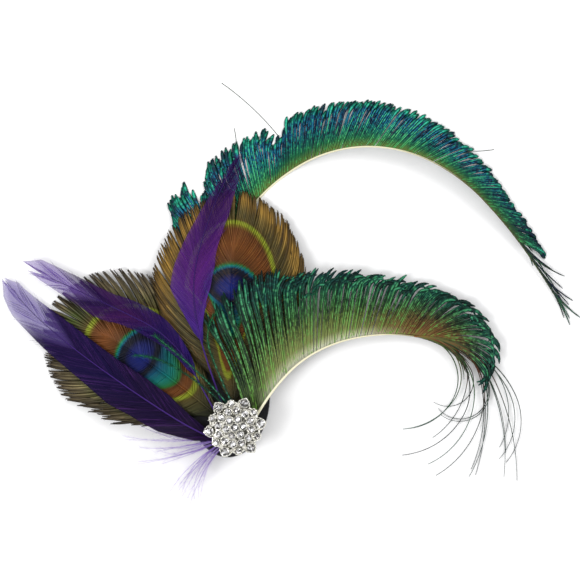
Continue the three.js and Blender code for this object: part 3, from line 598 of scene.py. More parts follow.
def barb_material(name, piece, colour_of, dark, lit, dashes=0.9, darkness=0.8, glint=0.5, outline=0.5,
                  quill_colour=None, metal=0.3, roughness=0.42, specular=0.25, alpha_of=None):
    """A feather's finish: its own colour over the barbs, streaked with a dark colour and with a
    lit one that may change from root to tip. The lit streaks are painted glints, and the dark colour
    also paints shade along the barbs' edges. Hairs take less painted glint. The quill has its own
    colour. The barbs are a little metallic, as iridescent ones are."""
    material, add, surface = new_material(name, piece)
    streaks = material.node_tree.nodes.new("ShaderNodeGroup")
    streaks.node_tree = barb_streaks
    stored = {key: value_of(add, key.lower()) for key in ("Shade", "Barb", "Far", "Out", "Edge")}
    plug(material.node_tree, streaks, {
        **stored, "Colour": colour_of(add), "Dark": light(*dark),
        "Lit": mix(add, stored["Out"], light(*lit[0]), light(*lit[-1])),
        "Glint": add("Math", "MULTIPLY_ADD", i0=value_of(add, "hair"), i1=-0.8 * glint, i2=glint),
        "Dashes": dashes, "Darkness": darkness, "Outline": outline})
    colour = streaks.outputs["Colour"]
    if quill_colour:
        on_quill = value_of(add, "quill")
        colour = mix(add, on_quill, colour, ramp(add, value_of(add, "along"), quill_colour))
        metal = add("Math", "MULTIPLY", i0=add("Math", "SUBTRACT", i0=1.0, i1=on_quill), i1=metal)
    if alpha_of:
        surface(Alpha=alpha_of(add))
    surface(
        Base_Color=colour, Metallic=metal, Roughness=roughness, Specular_IOR_Level=specular,
        Normal=add("Bump", Height=streaks.outputs["Height"], Strength=0.3, Distance=0.1 * MM))


def taper(share, root, middle_width, tip, peak=0.3):
    """A width along a barb: straight from the root to the peak, then easing to the tip, and
    rounded off over the last tenth by the square root of what is left."""
    first = root + (middle_width - root) * share / peak
    second = middle_width + (tip - middle_width) * ease((share - peak) / (1 - peak))
    return np.where(share < peak, first, second) * np.sqrt(np.clip((1.02 - share) / 0.12, 0.1, 1))


def lobed(share, root, middle_width, lobe, tip, widest=0.9):
    """A width along a herl: even up to a rounded lobe near the tip, drawn in again at the end."""
    at = [0, 0.35, widest - 0.16, widest - 0.04, widest + 0.02, 0.975, 1.0]
    width = [root, middle_width, middle_width, lobe, lobe, (lobe + tip) / 2, tip]
    return np.interp(share, at, width)


def stray_hairs(rows, radius, level):
    """Single hairs, each bent by eight degrees, from rows of a root in plan in millimetres, a
    heading and a length."""
    rows = np.array(rows, dtype=float)
    share = np.linspace(0, 1, 12)
    heading = np.radians(rows[:, 2:3] + 8 * (share - 0.5))
    reach = rows[:, 3:4] * share * MM
    x = rows[:, :1] * MM + reach * np.cos(heading)
    y = rows[:, 1:2] * MM + reach * np.sin(heading)
    lines = np.stack([x, y, np.full(x.shape, level)], axis=-1)
    points, faces, _ = tubes(lines, np.full(x.shape, radius), sides=4)
    return points, faces, {"along": np.ones(len(points)), "hair": np.ones(len(points))}


UPPER_LENGTH = 243 * MM
UPPER_HERL = 24 * MM
UPPER_RISE = 7.5 * MM
UPPER_WIDTHS = (0.6 * MM, 0.8 * MM, 1.7 * MM, 0.5 * MM)
UPPER_END_WIDTHS = (0.5 * MM, 0.6 * MM, 0.45 * MM)
STRAY_RADIUS = 0.15 * MM
STRAY_LEVEL = 2 * MM
UPPER_LINE = [
    (0, 98, 0), (0.14, 97, 0), (0.21, 92, 0), (0.29, 69, 0), (0.38, 46, 0.4), (0.46, 30, 0.7),
    (0.54, 10, 0.9), (0.61, -8, 1), (0.69, -27, 1), (0.79, -46, 0.8), (0.93, -56, 0.2), (1, -58, 0)]
UPPER_ROWS = [
    (0.22, 44, 2, 1.35), (0.245, 50, 2, 1.5), (0.27, 52, 2, 1.46), (0.282, 54, 2, 1.0), (0.297, 54, 2, 1.0),
    (0.305, 54, 2, 1.24), (0.34, 54, 2, 1.18), (0.38, 54, 2, 1.05), (0.4, 54, 2, 1.02), (0.41, 53, 2, 0.72),
    (0.42, 53, 2, 0.72), (0.43, 53, 2, 0.98), (0.46, 54, 2, 0.98), (0.54, 58, 2, 0.92), (0.61, 58, 0, 0.84),
    (0.69, 53, -4, 0.7), (0.79, 44, -10, 0.54), (0.88, 28, -8, 0.6)]
UPPER_END_ROWS = [(0.85, 14, -4, 0.7), (0.92, 8, -2, 0.9), (0.985, 3, 0, 0.72)]
STRAY_HAIRS = [(17.2, 104, 133, 31), (0.4, 100, 93, 7), (92, 98, -2, 12)]
IVORY = (238, 234, 205)

upper_shaft = Shaft((0.12, 0.37), UPPER_LENGTH, 0, UPPER_LINE, UPPER_RISE)
barbs = Barbs(upper_shaft, 1, UPPER_ROWS, UPPER_HERL, count=278, steps=16, seed=11, lock=3, ragged=0.07,
              hook=-30)
ends = Barbs(upper_shaft, 1, UPPER_END_ROWS, UPPER_HERL, count=18, seed=13, lock=3, gather=1.2, loose=0.02,
             ragged=0.1)
end_parts = [
    ends.ribbons(taper(ends.share, *UPPER_END_WIDTHS)),
    ends.barbules(3.0, 0.5 * MM, angle=20, seed=14, start=0.1, end=0.99)]
for points, faces, values in end_parts:
    values["hair"] = np.ones(len(points))
upper_plume = gather_parts("upper_sword_herls", [
    quill(upper_shaft), barbs.ribbons(lobed(barbs.share, *UPPER_WIDTHS)),
    barbs.barbules(5.4, 0.9 * MM, angle=35, seed=12, start=0.3, end=0.97, tip_growth=0.5, width=0.14 * MM),
    *end_parts, stray_hairs(STRAY_HAIRS, STRAY_RADIUS, STRAY_LEVEL)])


def upper_colour(add):
    """Yellow-olive by the quill, then green, teal and blue, and bright teal at the tips. The last
    herls are greener, and hair-like strands are dark olive."""
    out = value_of(add, "out")
    teal = ramp(add, out, [
        (0.0, 140, 150, 75), (0.08, 100, 140, 55), (0.22, 30, 125, 70), (0.44, 5, 125, 115),
        (0.62, 5, 112, 145), (0.8, 8, 100, 135), (0.9, 8, 130, 100), (1.0, 12, 95, 68)])
    greener = ramp(add, out, [(0.0, 80, 95, 42), (0.3, 32, 98, 52), (0.65, 10, 92, 68), (1.0, 16, 50, 38)])
    late = add("MapRange", Value=value_of(add, "along"), From_Min=0.7, From_Max=0.86)
    return mix(add, value_of(add, "hair"), mix(add, late, teal, greener), light(46, 62, 36))


# The lit colours paint glints on the herls, and the dark colour paints shade along their edges.
barb_material(
    "sword_herl", upper_plume, upper_colour, dark=(8, 22, 52), lit=[(90, 190, 90), (45, 200, 165)],
    glint=0.8, darkness=0.9, outline=0.75, dashes=0.6,
    quill_colour=[(0.0, *IVORY), (0.62, 225, 220, 185), (0.75, 90, 90, 50), (1.0, 50, 60, 35)])
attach(upper_plume, "root")
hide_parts("upper_sword_plume")

# Left eye feather
# A peacock tail feather trimmed round its eye, with close barbs on both sides of a thin shaft.
# The eye is a pattern in rings across the barbs: a navy pupil, turquoise, a thin green line,
# copper and lime, with brown barbs outside.
EYE_BARB = 44 * MM
EYE_RINGS = 5.0
EYE_QUILL = (0.34 * MM, 0.08 * MM)
EYE_WIDTHS = (0.55 * MM, 1.2 * MM, 0.7 * MM)
LEFT_EYE_LENGTH = 66 * MM
LEFT_PUPIL = (-36.8 * MM, 14.8 * MM)
LEFT_FACING = 148
# A ring's row holds its reach in millimetres towards the tip, to the sides and towards the root.
LEFT_RINGS = [(9.6, 11.5, 5), (10.8, 12.8, 17), (24, 18.5, 22.5), (27, 20.5, 26.5), (36, 28, 42)]


def ring_values(points, centre, heading, levels, narrow):
    """How many rings out a point lies: each ring is two half ellipses about the pupil's centre,
    with one reach towards the tip, one to the sides and one towards the root, and the value
    runs evenly from one ring to the next. Towards the root the rings narrow evenly."""
    turn = math.radians(heading)
    dx, dy = points[:, 0] - centre[0], points[:, 1] - centre[1]
    ahead = dx * math.cos(turn) + dy * math.sin(turn)
    aside = -dx * math.sin(turn) + dy * math.cos(turn)
    aside *= 1 + narrow * np.clip(-ahead / (levels[3][2] * MM), 0, 1)
    far = np.hypot(ahead, aside) + 1e-9
    total = np.zeros(len(points))
    inner = np.zeros(len(points))
    for front, side, back in levels:
        reach = np.where(ahead > 0, front, back) * MM
        radius = 1 / np.sqrt((ahead / far / reach) ** 2 + (aside / far / (side * MM)) ** 2)
        total += np.clip((far - inner) / np.maximum(radius - inner, 1e-6), 0, 1)
        inner = radius
    return total


def eye_feather(name, shaft, left_rows, right_rows, pupil, heading, levels, narrow, gather, seed):
    """Both sides of an eye feather with its ring pattern stored on the points."""
    parts = [quill(shaft, *EYE_QUILL, end=QUILL_END)]
    for side, rows in ((1, left_rows), (-1, right_rows)):
        barbs = Barbs(shaft, side, rows, EYE_BARB, count=150, steps=26, seed=seed + side, lock=6,
                      gather=gather, loose=0.01, ragged=0.02, stagger=0.1 * MM)
        parts += [
            barbs.ribbons(taper(barbs.share, *EYE_WIDTHS, peak=0.75), tilt=0.3),
            barbs.barbules(3.0, 1.0 * MM, angle=30, seed=seed + 5 + side, start=0.6, rise=0.08)]
    for points, faces, values in parts:
        values["ring"] = ring_values(points, pupil, heading, levels, narrow)
    return gather_parts(name, parts)


def eye_material(name, piece, darker_rows, paler_rows, dark, lit, glint):
    """Rings from the pupil outwards, then barbs that vary between a darker and a paler colour.
    One ring is a fifth of the ramp. A faint lit colour paints glints, and the dark colour paints
    shade along the barbs' edges."""

    def colour_of(add):
        ring = value_of(add, "ring")
        rings = ramp(add, add("Math", "DIVIDE", i0=ring, i1=EYE_RINGS), [
            (0.0, 18, 36, 120), (0.1, 14, 24, 95), (0.15, 5, 8, 32), (0.2, 3, 18, 40), (0.24, 4, 80, 110),
            (0.33, 5, 122, 112), (0.39, 30, 112, 50), (0.42, 90, 52, 18), (0.5, 120, 68, 24),
            (0.58, 104, 60, 22), (0.625, 140, 150, 35), (0.69, 140, 152, 40), (0.75, 88, 74, 32),
            (0.86, 84, 76, 40), (1.0, 70, 62, 30)])
        out = value_of(add, "out")
        foot = add("MapRange", Value=value_of(add, "along"), From_Min=0.12, From_Max=0.5, To_Min=0.1)
        pale = add("Math", "MULTIPLY", i0=value_of(add, "barb"), i1=foot)
        beyond = mix(add, pale, ramp(add, out, darker_rows), ramp(add, out, paler_rows))
        return mix(add, add("MapRange", Value=ring, From_Min=3.9, From_Max=4.6), rings, beyond)

    barb_material(name, piece, colour_of, dark, [lit], darkness=0.4, glint=glint, metal=0.2, dashes=0.3)


left_eye = eye_feather(
    "left_eye_herls", Shaft((-0.25, 0.09), LEFT_EYE_LENGTH, 0, [(0, 139), (0.5, 144), (1, 152)]),
    [(0.03, 24, 0, 0.5), (0.1, 46, -10, 0.55), (0.16, 66, -24, 0.6), (0.3, 80, -46, 0.8),
     (0.55, 76, -48, 0.93), (0.7, 66, -44, 0.85), (0.85, 46, -36, 0.68), (1, 4, 0, 0.46)],
    [(0.03, 20, 0, 0.5), (0.1, 40, -12, 0.6), (0.25, 60, -40, 0.82), (0.4, 62, -44, 1.03),
     (0.55, 56, -42, 0.98), (0.7, 46, -36, 0.86), (0.85, 32, -24, 0.65), (1, 4, 0, 0.45)],
    LEFT_PUPIL, LEFT_FACING, LEFT_RINGS, narrow=0.6, gather=0.8, seed=31)
eye_material(
    "left_eye_herl", left_eye,
    [(0.0, 30, 32, 20), (0.6, 36, 36, 24), (0.85, 50, 42, 30), (1.0, 26, 24, 20)],
    [(0.0, 70, 80, 36), (0.5, 108, 128, 58), (0.78, 140, 126, 88), (1.0, 84, 70, 58)],
    dark=(14, 12, 12), lit=(118, 112, 66), glint=0.05)
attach(left_eye, "root")
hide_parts("left_eye_feather")

# Upright eye feather
# The second trimmed tail feather, laid over the first with its eye upright. Its rings narrow
# towards the root, where its gold-brown barbs lie in chevrons.
UPRIGHT_EYE_LENGTH = 72 * MM
UPRIGHT_PUPIL = (-1.6 * MM, 42 * MM)
UPRIGHT_FACING = 88
UPRIGHT_RINGS = [(9, 9.8, 6), (10.2, 10.9, 24), (26.5, 17, 33), (29.2, 19.6, 38), (38, 29, 60)]
upright_eye = eye_feather(
    "upright_eye_herls", Shaft((0.06, 0.22), UPRIGHT_EYE_LENGTH, 1, [(0, 96), (0.4, 92), (1, 86)]),
    [(0.02, 18, 0, 0.55), (0.08, 30, -6, 0.66), (0.16, 52, -22, 0.72), (0.28, 70, -40, 0.84),
     (0.4, 66, -40, 1.02), (0.55, 58, -36, 0.99), (0.7, 50, -30, 0.87), (0.85, 36, -22, 0.68),
     (1, 4, 0, 0.46)],
    [(0.02, 16, 0, 0.5), (0.08, 30, -6, 0.6), (0.16, 56, -36, 0.7), (0.28, 84, -72, 0.88),
     (0.4, 86, -84, 1.1), (0.55, 80, -84, 1.06), (0.7, 72, -80, 0.94), (0.85, 52, -60, 0.71),
     (1, 4, 0, 0.46)],
    UPRIGHT_PUPIL, UPRIGHT_FACING, UPRIGHT_RINGS, narrow=3.2, gather=0.3, seed=41)
eye_material(
    "upright_eye_herl", upright_eye,
    [(0.0, 36, 36, 20), (0.6, 50, 44, 22), (0.85, 84, 62, 24), (1.0, 40, 32, 16)],
    [(0.0, 80, 80, 40), (0.6, 120, 108, 60), (0.85, 176, 136, 56), (1.0, 90, 70, 36)],
    dark=(18, 12, 10), lit=(165, 125, 50), glint=0.08)
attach(upright_eye, "root")
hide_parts("upright_eye_feather")

# Lower sword plume
# The second sword feather, over the upright eye. Its herls stand up from the ivory quill with
# pale bare bases, bright green middles and dark hooked tips. At its end bare hair-like barbs curl
# back.
LOWER_LENGTH = 96 * MM
LOWER_HERL = 42 * MM
LOWER_QUILL_ROOT = 0.6 * MM
LOWER_WIDTHS = (0.7 * MM, 0.78 * MM, 1.5 * MM, 0.3 * MM)
BUNDLE_WIDTHS = (0.5 * MM, 0.6 * MM, 0.3 * MM)
TAIL_ROOT = 0.42 * MM
TAIL_STEPS = 40
LOWER_LINE = [
    (0, 60, 0), (0.16, 57, 0), (0.32, 46, 0), (0.47, 28, 0), (0.62, 13, 0), (0.75, 3, 0.2),
    (0.91, -10, 0.8), (1, -18, 1)]
LOWER_ROWS = [
    (0.04, 41, 26, 1.18), (0.16, 41, 14, 1.22), (0.3, 50, 0, 1.06), (0.4, 60, -4, 0.88),
    (0.47, 61, -4, 0.84), (0.62, 68, -4, 0.72), (0.75, 68, -6, 0.64), (0.88, 64, -12, 0.62),
    (0.92, 52, -24, 0.7), (0.95, 40, -40, 0.74), (0.98, 24, -56, 0.76), (1, 8, -70, 0.76)]
# A group's row holds its first row above and the one after its last, then its count of barbs,
# barbs to a lock, gathering and hook.
LOWER_GROUPS = [(0, 3, 46, 5, 1.8, -15), (2, 8, 104, 3, 0.45, -85), (7, 12, 40, 3, 0.6, -85)]
BUNDLE_ROWS = [(0.8, 2, -26, 0.66), (0.9, 4, -44, 0.62), (1, 0, -70, 0.56)]
# A tail's row holds its share along the quill, its first heading, the share of its own length
# where it reaches the second, the second, the third, and its reach as a share of the quill.
TAIL_ROWS = [
    (0.9, 0, 0.6, -120, -175, 0.78), (0.9, 0, 0.5, -60, -220, 0.7), (0.95, 0, 0.5, -95, -150, 0.78),
    (0.95, 5, 0.45, -80, -120, 0.74), (0.95, 0, 0.6, -65, -130, 0.76), (0.95, 0, 0.45, -65, -90, 0.78)]


def three_headings(turns, steps):
    """Headings in radians at the middle of each step: even turning from a first heading to a
    second, which is reached at a share of the line, and on to a third. Rows of the turns hold
    the first heading, that share, the second and the third."""
    share = np.linspace(0, 1, steps)
    mid = (share[1:] + share[:-1]) / 2
    start, at, bend, end = (turns[:, column, None] for column in range(4))
    first = start + (bend - start) * mid / at
    second = bend + (end - bend) * (mid - at) / (1 - at)
    return np.radians(np.where(mid < at, first, second))


def tail_lines(shaft, rows, copies, steps, seed):
    """Hair-like barbs in plan: each leaves the shaft at a share, turns by its three headings over
    its reach and lies down on the table towards its tip. Copies of a row differ a little in
    place, turn and length."""
    draw = np.random.default_rng(seed)
    rows = np.repeat(np.array(rows), copies, axis=0)
    count = len(rows)
    own = (np.arange(count) % copies > 0).astype(float)
    rows[:, 0] -= np.abs(draw.normal(0, 0.015, count)) * own
    rows[:, [1, 3]] += draw.normal(0, 2.5, (count, 2)) * own[:, None]
    rows[:, 4] += draw.normal(0, 12, count) * own
    rows[:, 5] *= 1 - draw.uniform(-0.05, 0.3, count) * own
    start = shaft.place(rows[:, 0])
    step = rows[:, 5:] * shaft.length / (steps - 1)
    x, y = walk(start[:, :1], start[:, 1:2], three_headings(rows[:, 1:5], steps), step)
    rest = REST + draw.uniform(0, 1, (count, 1)) * 0.5 * MM
    z = start[:, 2:] + (rest - start[:, 2:]) * ease(np.linspace(0, 1, steps))
    return np.stack([x, y, z], axis=-1)


lower_shaft = Shaft((0.28, -0.28), LOWER_LENGTH, 2, LOWER_LINE, rise=-2 * LAYER)
lower_parts = []
for first_row, last_row, count, lock, gather, hook in LOWER_GROUPS:
    barbs = Barbs(lower_shaft, 1, LOWER_ROWS[first_row:last_row], LOWER_HERL, count=count, steps=18,
                  seed=51 + first_row, lock=lock, gather=gather, loose=0.02, hook=hook)
    lower_parts += [
        barbs.ribbons(lobed(barbs.share, *LOWER_WIDTHS, widest=0.86)),
        barbs.barbules(6.0, 0.85 * MM, angle=33, seed=54, start=0.34, end=0.98, tip_growth=0.5)]
bundle = Barbs(lower_shaft, 1, BUNDLE_ROWS, LOWER_HERL, count=24, steps=18, seed=58, gather=1.2,
               ragged=0.12)
bundle_parts = [
    bundle.ribbons(taper(bundle.share, *BUNDLE_WIDTHS)),
    bundle.barbules(3.0, 0.6 * MM, angle=18, seed=59, start=0.2, end=0.99)]
for points, faces, values in bundle_parts:
    values["hair"] = np.ones(len(points))
    values["out"] = values["out"] * 0.4
tails = tail_lines(lower_shaft, TAIL_ROWS, copies=3, steps=TAIL_STEPS, seed=52)
tail_share = np.broadcast_to(np.linspace(0, 1, TAIL_STEPS), tails.shape[:2])
tail_points, tail_faces, tail_out = tubes(tails, TAIL_ROOT * (1 - 0.75 * tail_share ** 0.6))
each = len(tail_points) // len(tails)
tail_values = {
    "out": tail_out, "along": np.ones(len(tail_points)), "hair": np.ones(len(tail_points)),
    "barb": np.repeat(np.random.default_rng(55).uniform(0, 1, len(tails)), each),
    "shade": np.repeat(np.random.default_rng(53).uniform(0.2, 0.8, len(tails)), each)}
lower_plume = gather_parts("lower_sword_herls", [
    quill(lower_shaft, LOWER_QUILL_ROOT), *lower_parts, *bundle_parts,
    (tail_points, tail_faces, tail_values)])


def lower_colour(add):
    """Pale bare bases, olive, bright green and dark teal tips, darker at the start of the quill
    and bronze towards its end. Hair-like ends are olive or russet to dark."""
    out, along, barb = (value_of(add, name) for name in ("out", "along", "barb"))
    green = ramp(add, out, [
        (0.0, 225, 226, 205), (0.08, 190, 195, 150), (0.15, 140, 150, 85), (0.32, 112, 130, 62),
        (0.5, 58, 108, 50), (0.7, 18, 88, 58), (0.88, 10, 72, 66), (1.0, 14, 56, 56)])
    bronze = ramp(add, out, [
        (0.0, 150, 118, 72), (0.15, 128, 88, 48), (0.32, 108, 84, 46), (0.5, 62, 88, 52), (0.7, 20, 84, 66),
        (1.0, 20, 66, 60)])
    early = ramp(add, out, [
        (0.0, 80, 92, 52), (0.3, 66, 90, 42), (0.6, 50, 92, 44), (0.85, 22, 76, 52), (1.0, 14, 52, 44)])
    olive = ramp(add, out, [(0.0, 105, 100, 50), (0.25, 48, 64, 34), (0.6, 20, 50, 38), (1.0, 28, 50, 44)])
    russet = ramp(add, out, [(0.0, 130, 84, 46), (0.3, 80, 44, 28), (0.6, 28, 40, 32), (1.0, 30, 48, 42)])
    hairs = mix(add, add("Math", "GREATER_THAN", i0=barb, i1=0.6), olive, russet)
    start = mix(add, add("MapRange", Value=along, From_Min=0.13, From_Max=0.24), early, green)
    herls = mix(add, add("MapRange", Value=along, From_Min=0.64, From_Max=0.86), start, bronze)
    return mix(add, value_of(add, "hair"), herls, hairs)


# The lit colours paint glints on the herls, and the dark colour paints shade along their edges.
barb_material(
    "lower_sword_herl", lower_plume, lower_colour, dark=(6, 24, 22), lit=[(130, 185, 65), (60, 170, 125)],
    glint=0.7, darkness=0.85, outline=0.75, dashes=0.5,
    quill_colour=[(0.0, *IVORY), (0.75, 230, 224, 190), (0.9, 130, 125, 75), (1.0, 80, 80, 50)])
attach(lower_plume, "root")
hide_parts("lower_sword_plume")

# Purple feathers
# Three narrow dyed goose vanes, partly clear, so that what lies under them shows through. Their
# barbs cling into a smooth sheet with a few thin ones free along the edge. The two on the left
# grow pale and thin towards their tips.
UPRIGHT_PURPLE_LENGTH = 104 * MM
HIGH_PURPLE_LENGTH = 97 * MM
LOW_PURPLE_LENGTH = 106 * MM
BROAD_VANE = 22 * MM
NARROW_VANE = 17 * MM
PURPLE_QUILL = (0.34 * MM, 0.12 * MM)
FREE_WIDTHS = (0.1 * MM, 0.2 * MM, 0.05 * MM)
VIOLET_QUILL = [(0.0, 64, 40, 110), (1.0, 58, 34, 104)]


def purple_feather(name, shaft, left_rows, right_rows, longest, seed):
    """Both sides of a vane, each a thin sheet with free barbs over it, and the shaft."""
    parts = [quill(shaft, *PURPLE_QUILL, end=QUILL_END)]
    for side, rows in ((1, left_rows), (-1, right_rows)):
        clinging = Barbs(shaft, side, rows, longest, count=110, steps=10, seed=seed + side, lock=9,
                         gather=0.0, loose=0.0, ragged=0.0, stagger=0.03 * MM)
        free = Barbs(shaft, side, rows, longest * 1.02, count=60, seed=seed + 5 + side, lock=8, gather=0.3,
                     loose=0.01, stagger=0.1 * MM)
        parts += [
            clinging.sheet(),
            free.ribbons(taper(free.share, *FREE_WIDTHS, peak=0.5)),
            free.barbules(1.2, 0.8 * MM, angle=16, seed=seed + 9, start=0.7, width=0.05 * MM, rise=0.04)]
    return gather_parts(name, parts)


def ramp_over(name, rows):
    """A finish's colour as a ramp over a number that the mesh stores."""
    return lambda add: ramp(add, value_of(add, name), rows)


def finish_purple(name, piece, node, rows, thin_from, clear):
    """The dye's colour along the vane, and how solid the sheet is before and past the place where
    it grows thin. It is firm at the foot. Shaft and free barbs are less clear."""

    def alpha_of(add):
        along = value_of(add, "along")
        sheet = add("MapRange", Value=along, From_Min=thin_from, From_Max=thin_from + 0.1, To_Min=clear[0],
                    To_Max=clear[1])
        root = add("MapRange", Value=along, From_Min=0.3, From_Max=0.42, To_Min=0.9, To_Max=0.0)
        firmer = add("Math", "SUBTRACT", i0=1.0, i1=value_of(add, "clear"))
        return add("Math", "MULTIPLY_ADD", i0=firmer, i1=0.3, i2=add("Math", "MAXIMUM", i0=root, i1=sheet))

    # The lit colours paint a faint sheen on the vanes, and the dark colour paints shade along the free
    # barbs' edges.
    barb_material(
        name, piece, ramp_over("along", rows), dark=(34, 14, 70), lit=[(85, 40, 125), (110, 60, 150)],
        dashes=0.1, darkness=0.4, glint=0.3, outline=0.3, quill_colour=VIOLET_QUILL, metal=0.0,
        roughness=0.6, specular=0.08, alpha_of=alpha_of)
    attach(piece, "root")
    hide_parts(node)


upright_purple = purple_feather(
    "upright_purple_vane", Shaft((-0.31, 0.53), UPRIGHT_PURPLE_LENGTH, 2, [
        (0, 112), (0.28, 106), (0.44, 94), (0.62, 76), (0.82, 68), (1, 63)]),
    [(0.28, 22, 6, 0.2), (0.37, 30, 4, 0.72), (0.44, 27, 4, 0.7), (0.52, 24, 2, 0.64), (0.66, 18, 0, 0.58),
     (0.8, 12, 0, 0.44), (0.9, 8, 0, 0.3), (1, 4, 0, 0.15)],
    [(0.26, 20, 0, 0.15), (0.34, 30, 0, 0.75), (0.4, 32, -2, 0.88), (0.55, 29, -4, 0.92),
     (0.75, 20, -4, 0.92), (0.9, 13, 0, 0.6), (1, 4, 0, 0.2)],
    BROAD_VANE, seed=61)
finish_purple("violet_dye", upright_purple, "upright_purple_feather", [
    (0.25, 44, 34, 105), (0.38, 82, 38, 138), (0.5, 96, 34, 136), (0.68, 72, 26, 108), (0.85, 38, 14, 66),
    (1.0, 42, 16, 75)], thin_from=0.9, clear=(0.38, 0.4))

high_purple = purple_feather(
    "high_purple_vane", Shaft((-0.4, 0.09), HIGH_PURPLE_LENGTH, 2, [
        (0, 119), (0.24, 118), (0.4, 136), (0.56, 154), (1, 156)]),
    [(0.22, 22, 0, 0.3), (0.36, 28, 0, 0.75), (0.6, 26, 0, 0.9), (0.78, 19, 0, 0.76), (0.9, 14, 0, 0.62),
     (1, 8, 0, 0.4)],
    [(0.22, 20, 0, 0.3), (0.36, 22, 4, 0.65), (0.5, 19, 4, 0.78), (0.62, 17, 2, 0.9), (0.85, 16, 0, 1.1),
     (1, 9, 0, 0.6)],
    NARROW_VANE, seed=71)
finish_purple("indigo_dye", high_purple, "high_purple_feather", [
    (0.2, 24, 12, 78), (0.45, 28, 10, 78), (0.6, 58, 16, 80), (0.72, 34, 12, 70), (0.85, 120, 90, 175),
    (1.0, 130, 100, 185)], thin_from=0.68, clear=(0.5, 0.34))

low_purple = purple_feather(
    "low_purple_vane", Shaft((-0.28, -0.5), LOW_PURPLE_LENGTH, 1, [
        (0, 160), (0.22, 148), (0.6, 144), (0.82, 139), (1, 128)]),
    [(0.03, 24, 0, 0.4), (0.12, 28, 0, 0.7), (0.3, 30, 0, 0.88), (0.45, 27, 0, 0.82), (0.6, 23, 0, 0.84),
     (0.78, 20, -2, 0.8), (0.88, 17, -4, 0.64), (1, 5, 0, 0.3)],
    [(0.03, 22, 0, 0.4), (0.12, 26, 0, 0.8), (0.34, 22, 0, 0.88), (0.6, 22, 0, 0.9), (0.86, 18, 0, 0.74),
     (1, 5, 0, 0.3)],
    BROAD_VANE, seed=81)
finish_purple("deep_indigo_dye", low_purple, "low_purple_feather", [
    (0.1, 14, 3, 26), (0.3, 10, 2, 32), (0.5, 9, 3, 48), (0.66, 20, 7, 52), (0.8, 110, 90, 170),
    (1.0, 130, 110, 185)], thin_from=0.66, clear=(0.8, 0.32))

# Purple down tuft
# Thin dyed down from the foot of a feather, loose and pale, spilling out under the brooch.
# Each strand has fine fluff on both sides.
DOWN_LENGTH = 42 * MM
DOWN_STRAND = 0.55 * MM
DOWN_RADIUS = 0.16 * MM
DOWN_FLUFF = 3.0 * MM
DOWN_FACING = 205
# A strand's row holds its first heading, the share of its length where it reaches the second, the
# second, the third, its reach and its droop, both as shares of the longest.
DOWN_ROWS = [
    (188, 0.4, 182, 168, 0.9, 0.04), (194, 0.4, 188, 178, 0.75, 0.05), (202, 0.4, 196, 184, 0.84, 0.06),
    (210, 0.4, 222, 240, 0.72, 0.08), (218, 0.4, 231, 246, 0.62, 0.09), (226, 0.4, 240, 254, 0.66, 0.09)]


def fan_lines(root, facing, rows, length, layer, radius, copies, steps, seed, spread):
    """Loose strands in plan: they start side by side on a short bar across a facing, each turns
    by its three headings over its reach, and droops by the square of its share."""
    draw = np.random.default_rng(seed)
    rows = np.repeat(np.array(rows, dtype=float), copies, axis=0)
    count = len(rows)
    own = (np.arange(count) % copies > 0).astype(float)
    rows[:, [0, 2]] += draw.normal(0, 5 * spread, (count, 2)) * own[:, None]
    rows[:, 3] += draw.normal(0, 16 * spread, count) * own
    rows[:, 4] *= 1 - np.abs(draw.normal(0, 0.25 * spread, count)) * own
    bar = np.repeat(np.arange(count // copies) - (count // copies - 1) / 2, copies) * 1.7 * radius
    turn = math.radians(facing)
    x = root[0] * BROOCH_RADIUS - bar * math.sin(turn)
    y = root[1] * BROOCH_RADIUS - BROOCH_DROP + bar * math.cos(turn)
    step = rows[:, 4:5] * length / (steps - 1)
    x, y = walk(x[:, None], y[:, None], three_headings(rows[:, :4], steps), step)
    z = layer_height(x, y, layer) - rows[:, 5:] * length * np.linspace(0, 1, steps) ** 2
    z = z + draw.uniform(-0.15, 0.15, (count, 1)) * MM
    return np.stack([x, y, z], axis=-1)


def strands(lines, radius, seed, per_mm, fluff, angle, start=0.1, width=0.07 * MM):
    """Rods along the lines with fine spikes of the fluff's length on both sides of each."""
    count, steps = lines.shape[:2]
    points, faces, out = tubes(lines, radius * (1 - 0.7 * np.tile(np.linspace(0, 1, steps), (count, 1))))
    draw = np.random.default_rng(seed)
    shade = draw.uniform(0, 1, count)
    pieces = np.diff(lines, axis=1)
    length = np.linalg.norm(pieces, axis=-1).sum(axis=1)
    each = len(points) // count
    shades = np.repeat(shade, each)
    far = out * np.repeat(length, each) / MM
    rods = (points, faces, {"out": out, "far": far, "shade": shades, "barb": shades})
    owner = np.repeat(np.arange(count), (length / MM * per_mm).astype(int))
    at = draw.uniform(start, 1, len(owner))
    low, read = reader(steps, owner, at)
    ahead = pieces[owner, low]
    ahead /= np.linalg.norm(ahead, axis=1, keepdims=True)
    across = np.stack([-ahead[:, 1], ahead[:, 0], np.zeros(len(owner))], axis=1)
    lean = np.radians(angle + draw.normal(0, 10, len(owner)))
    lift = draw.normal(0, 0.15, len(owner))
    size = fluff * draw.uniform(0.5, 1.1, len(owner))
    points, faces = leaning_spikes(read(lines), ahead, across, lean, lift, size, width)
    shades = np.repeat(np.clip(shade[owner] + draw.normal(0, 0.2, len(owner)), 0, 1), 4)
    values = {"out": np.repeat(at, 4), "shade": shades, "barb": shades,
              "far": np.repeat(at * length[owner] / MM, 4), "edge": np.tile(SPIKE_EDGE_SHADE, len(owner))}
    return [rods, (points, faces, values)]


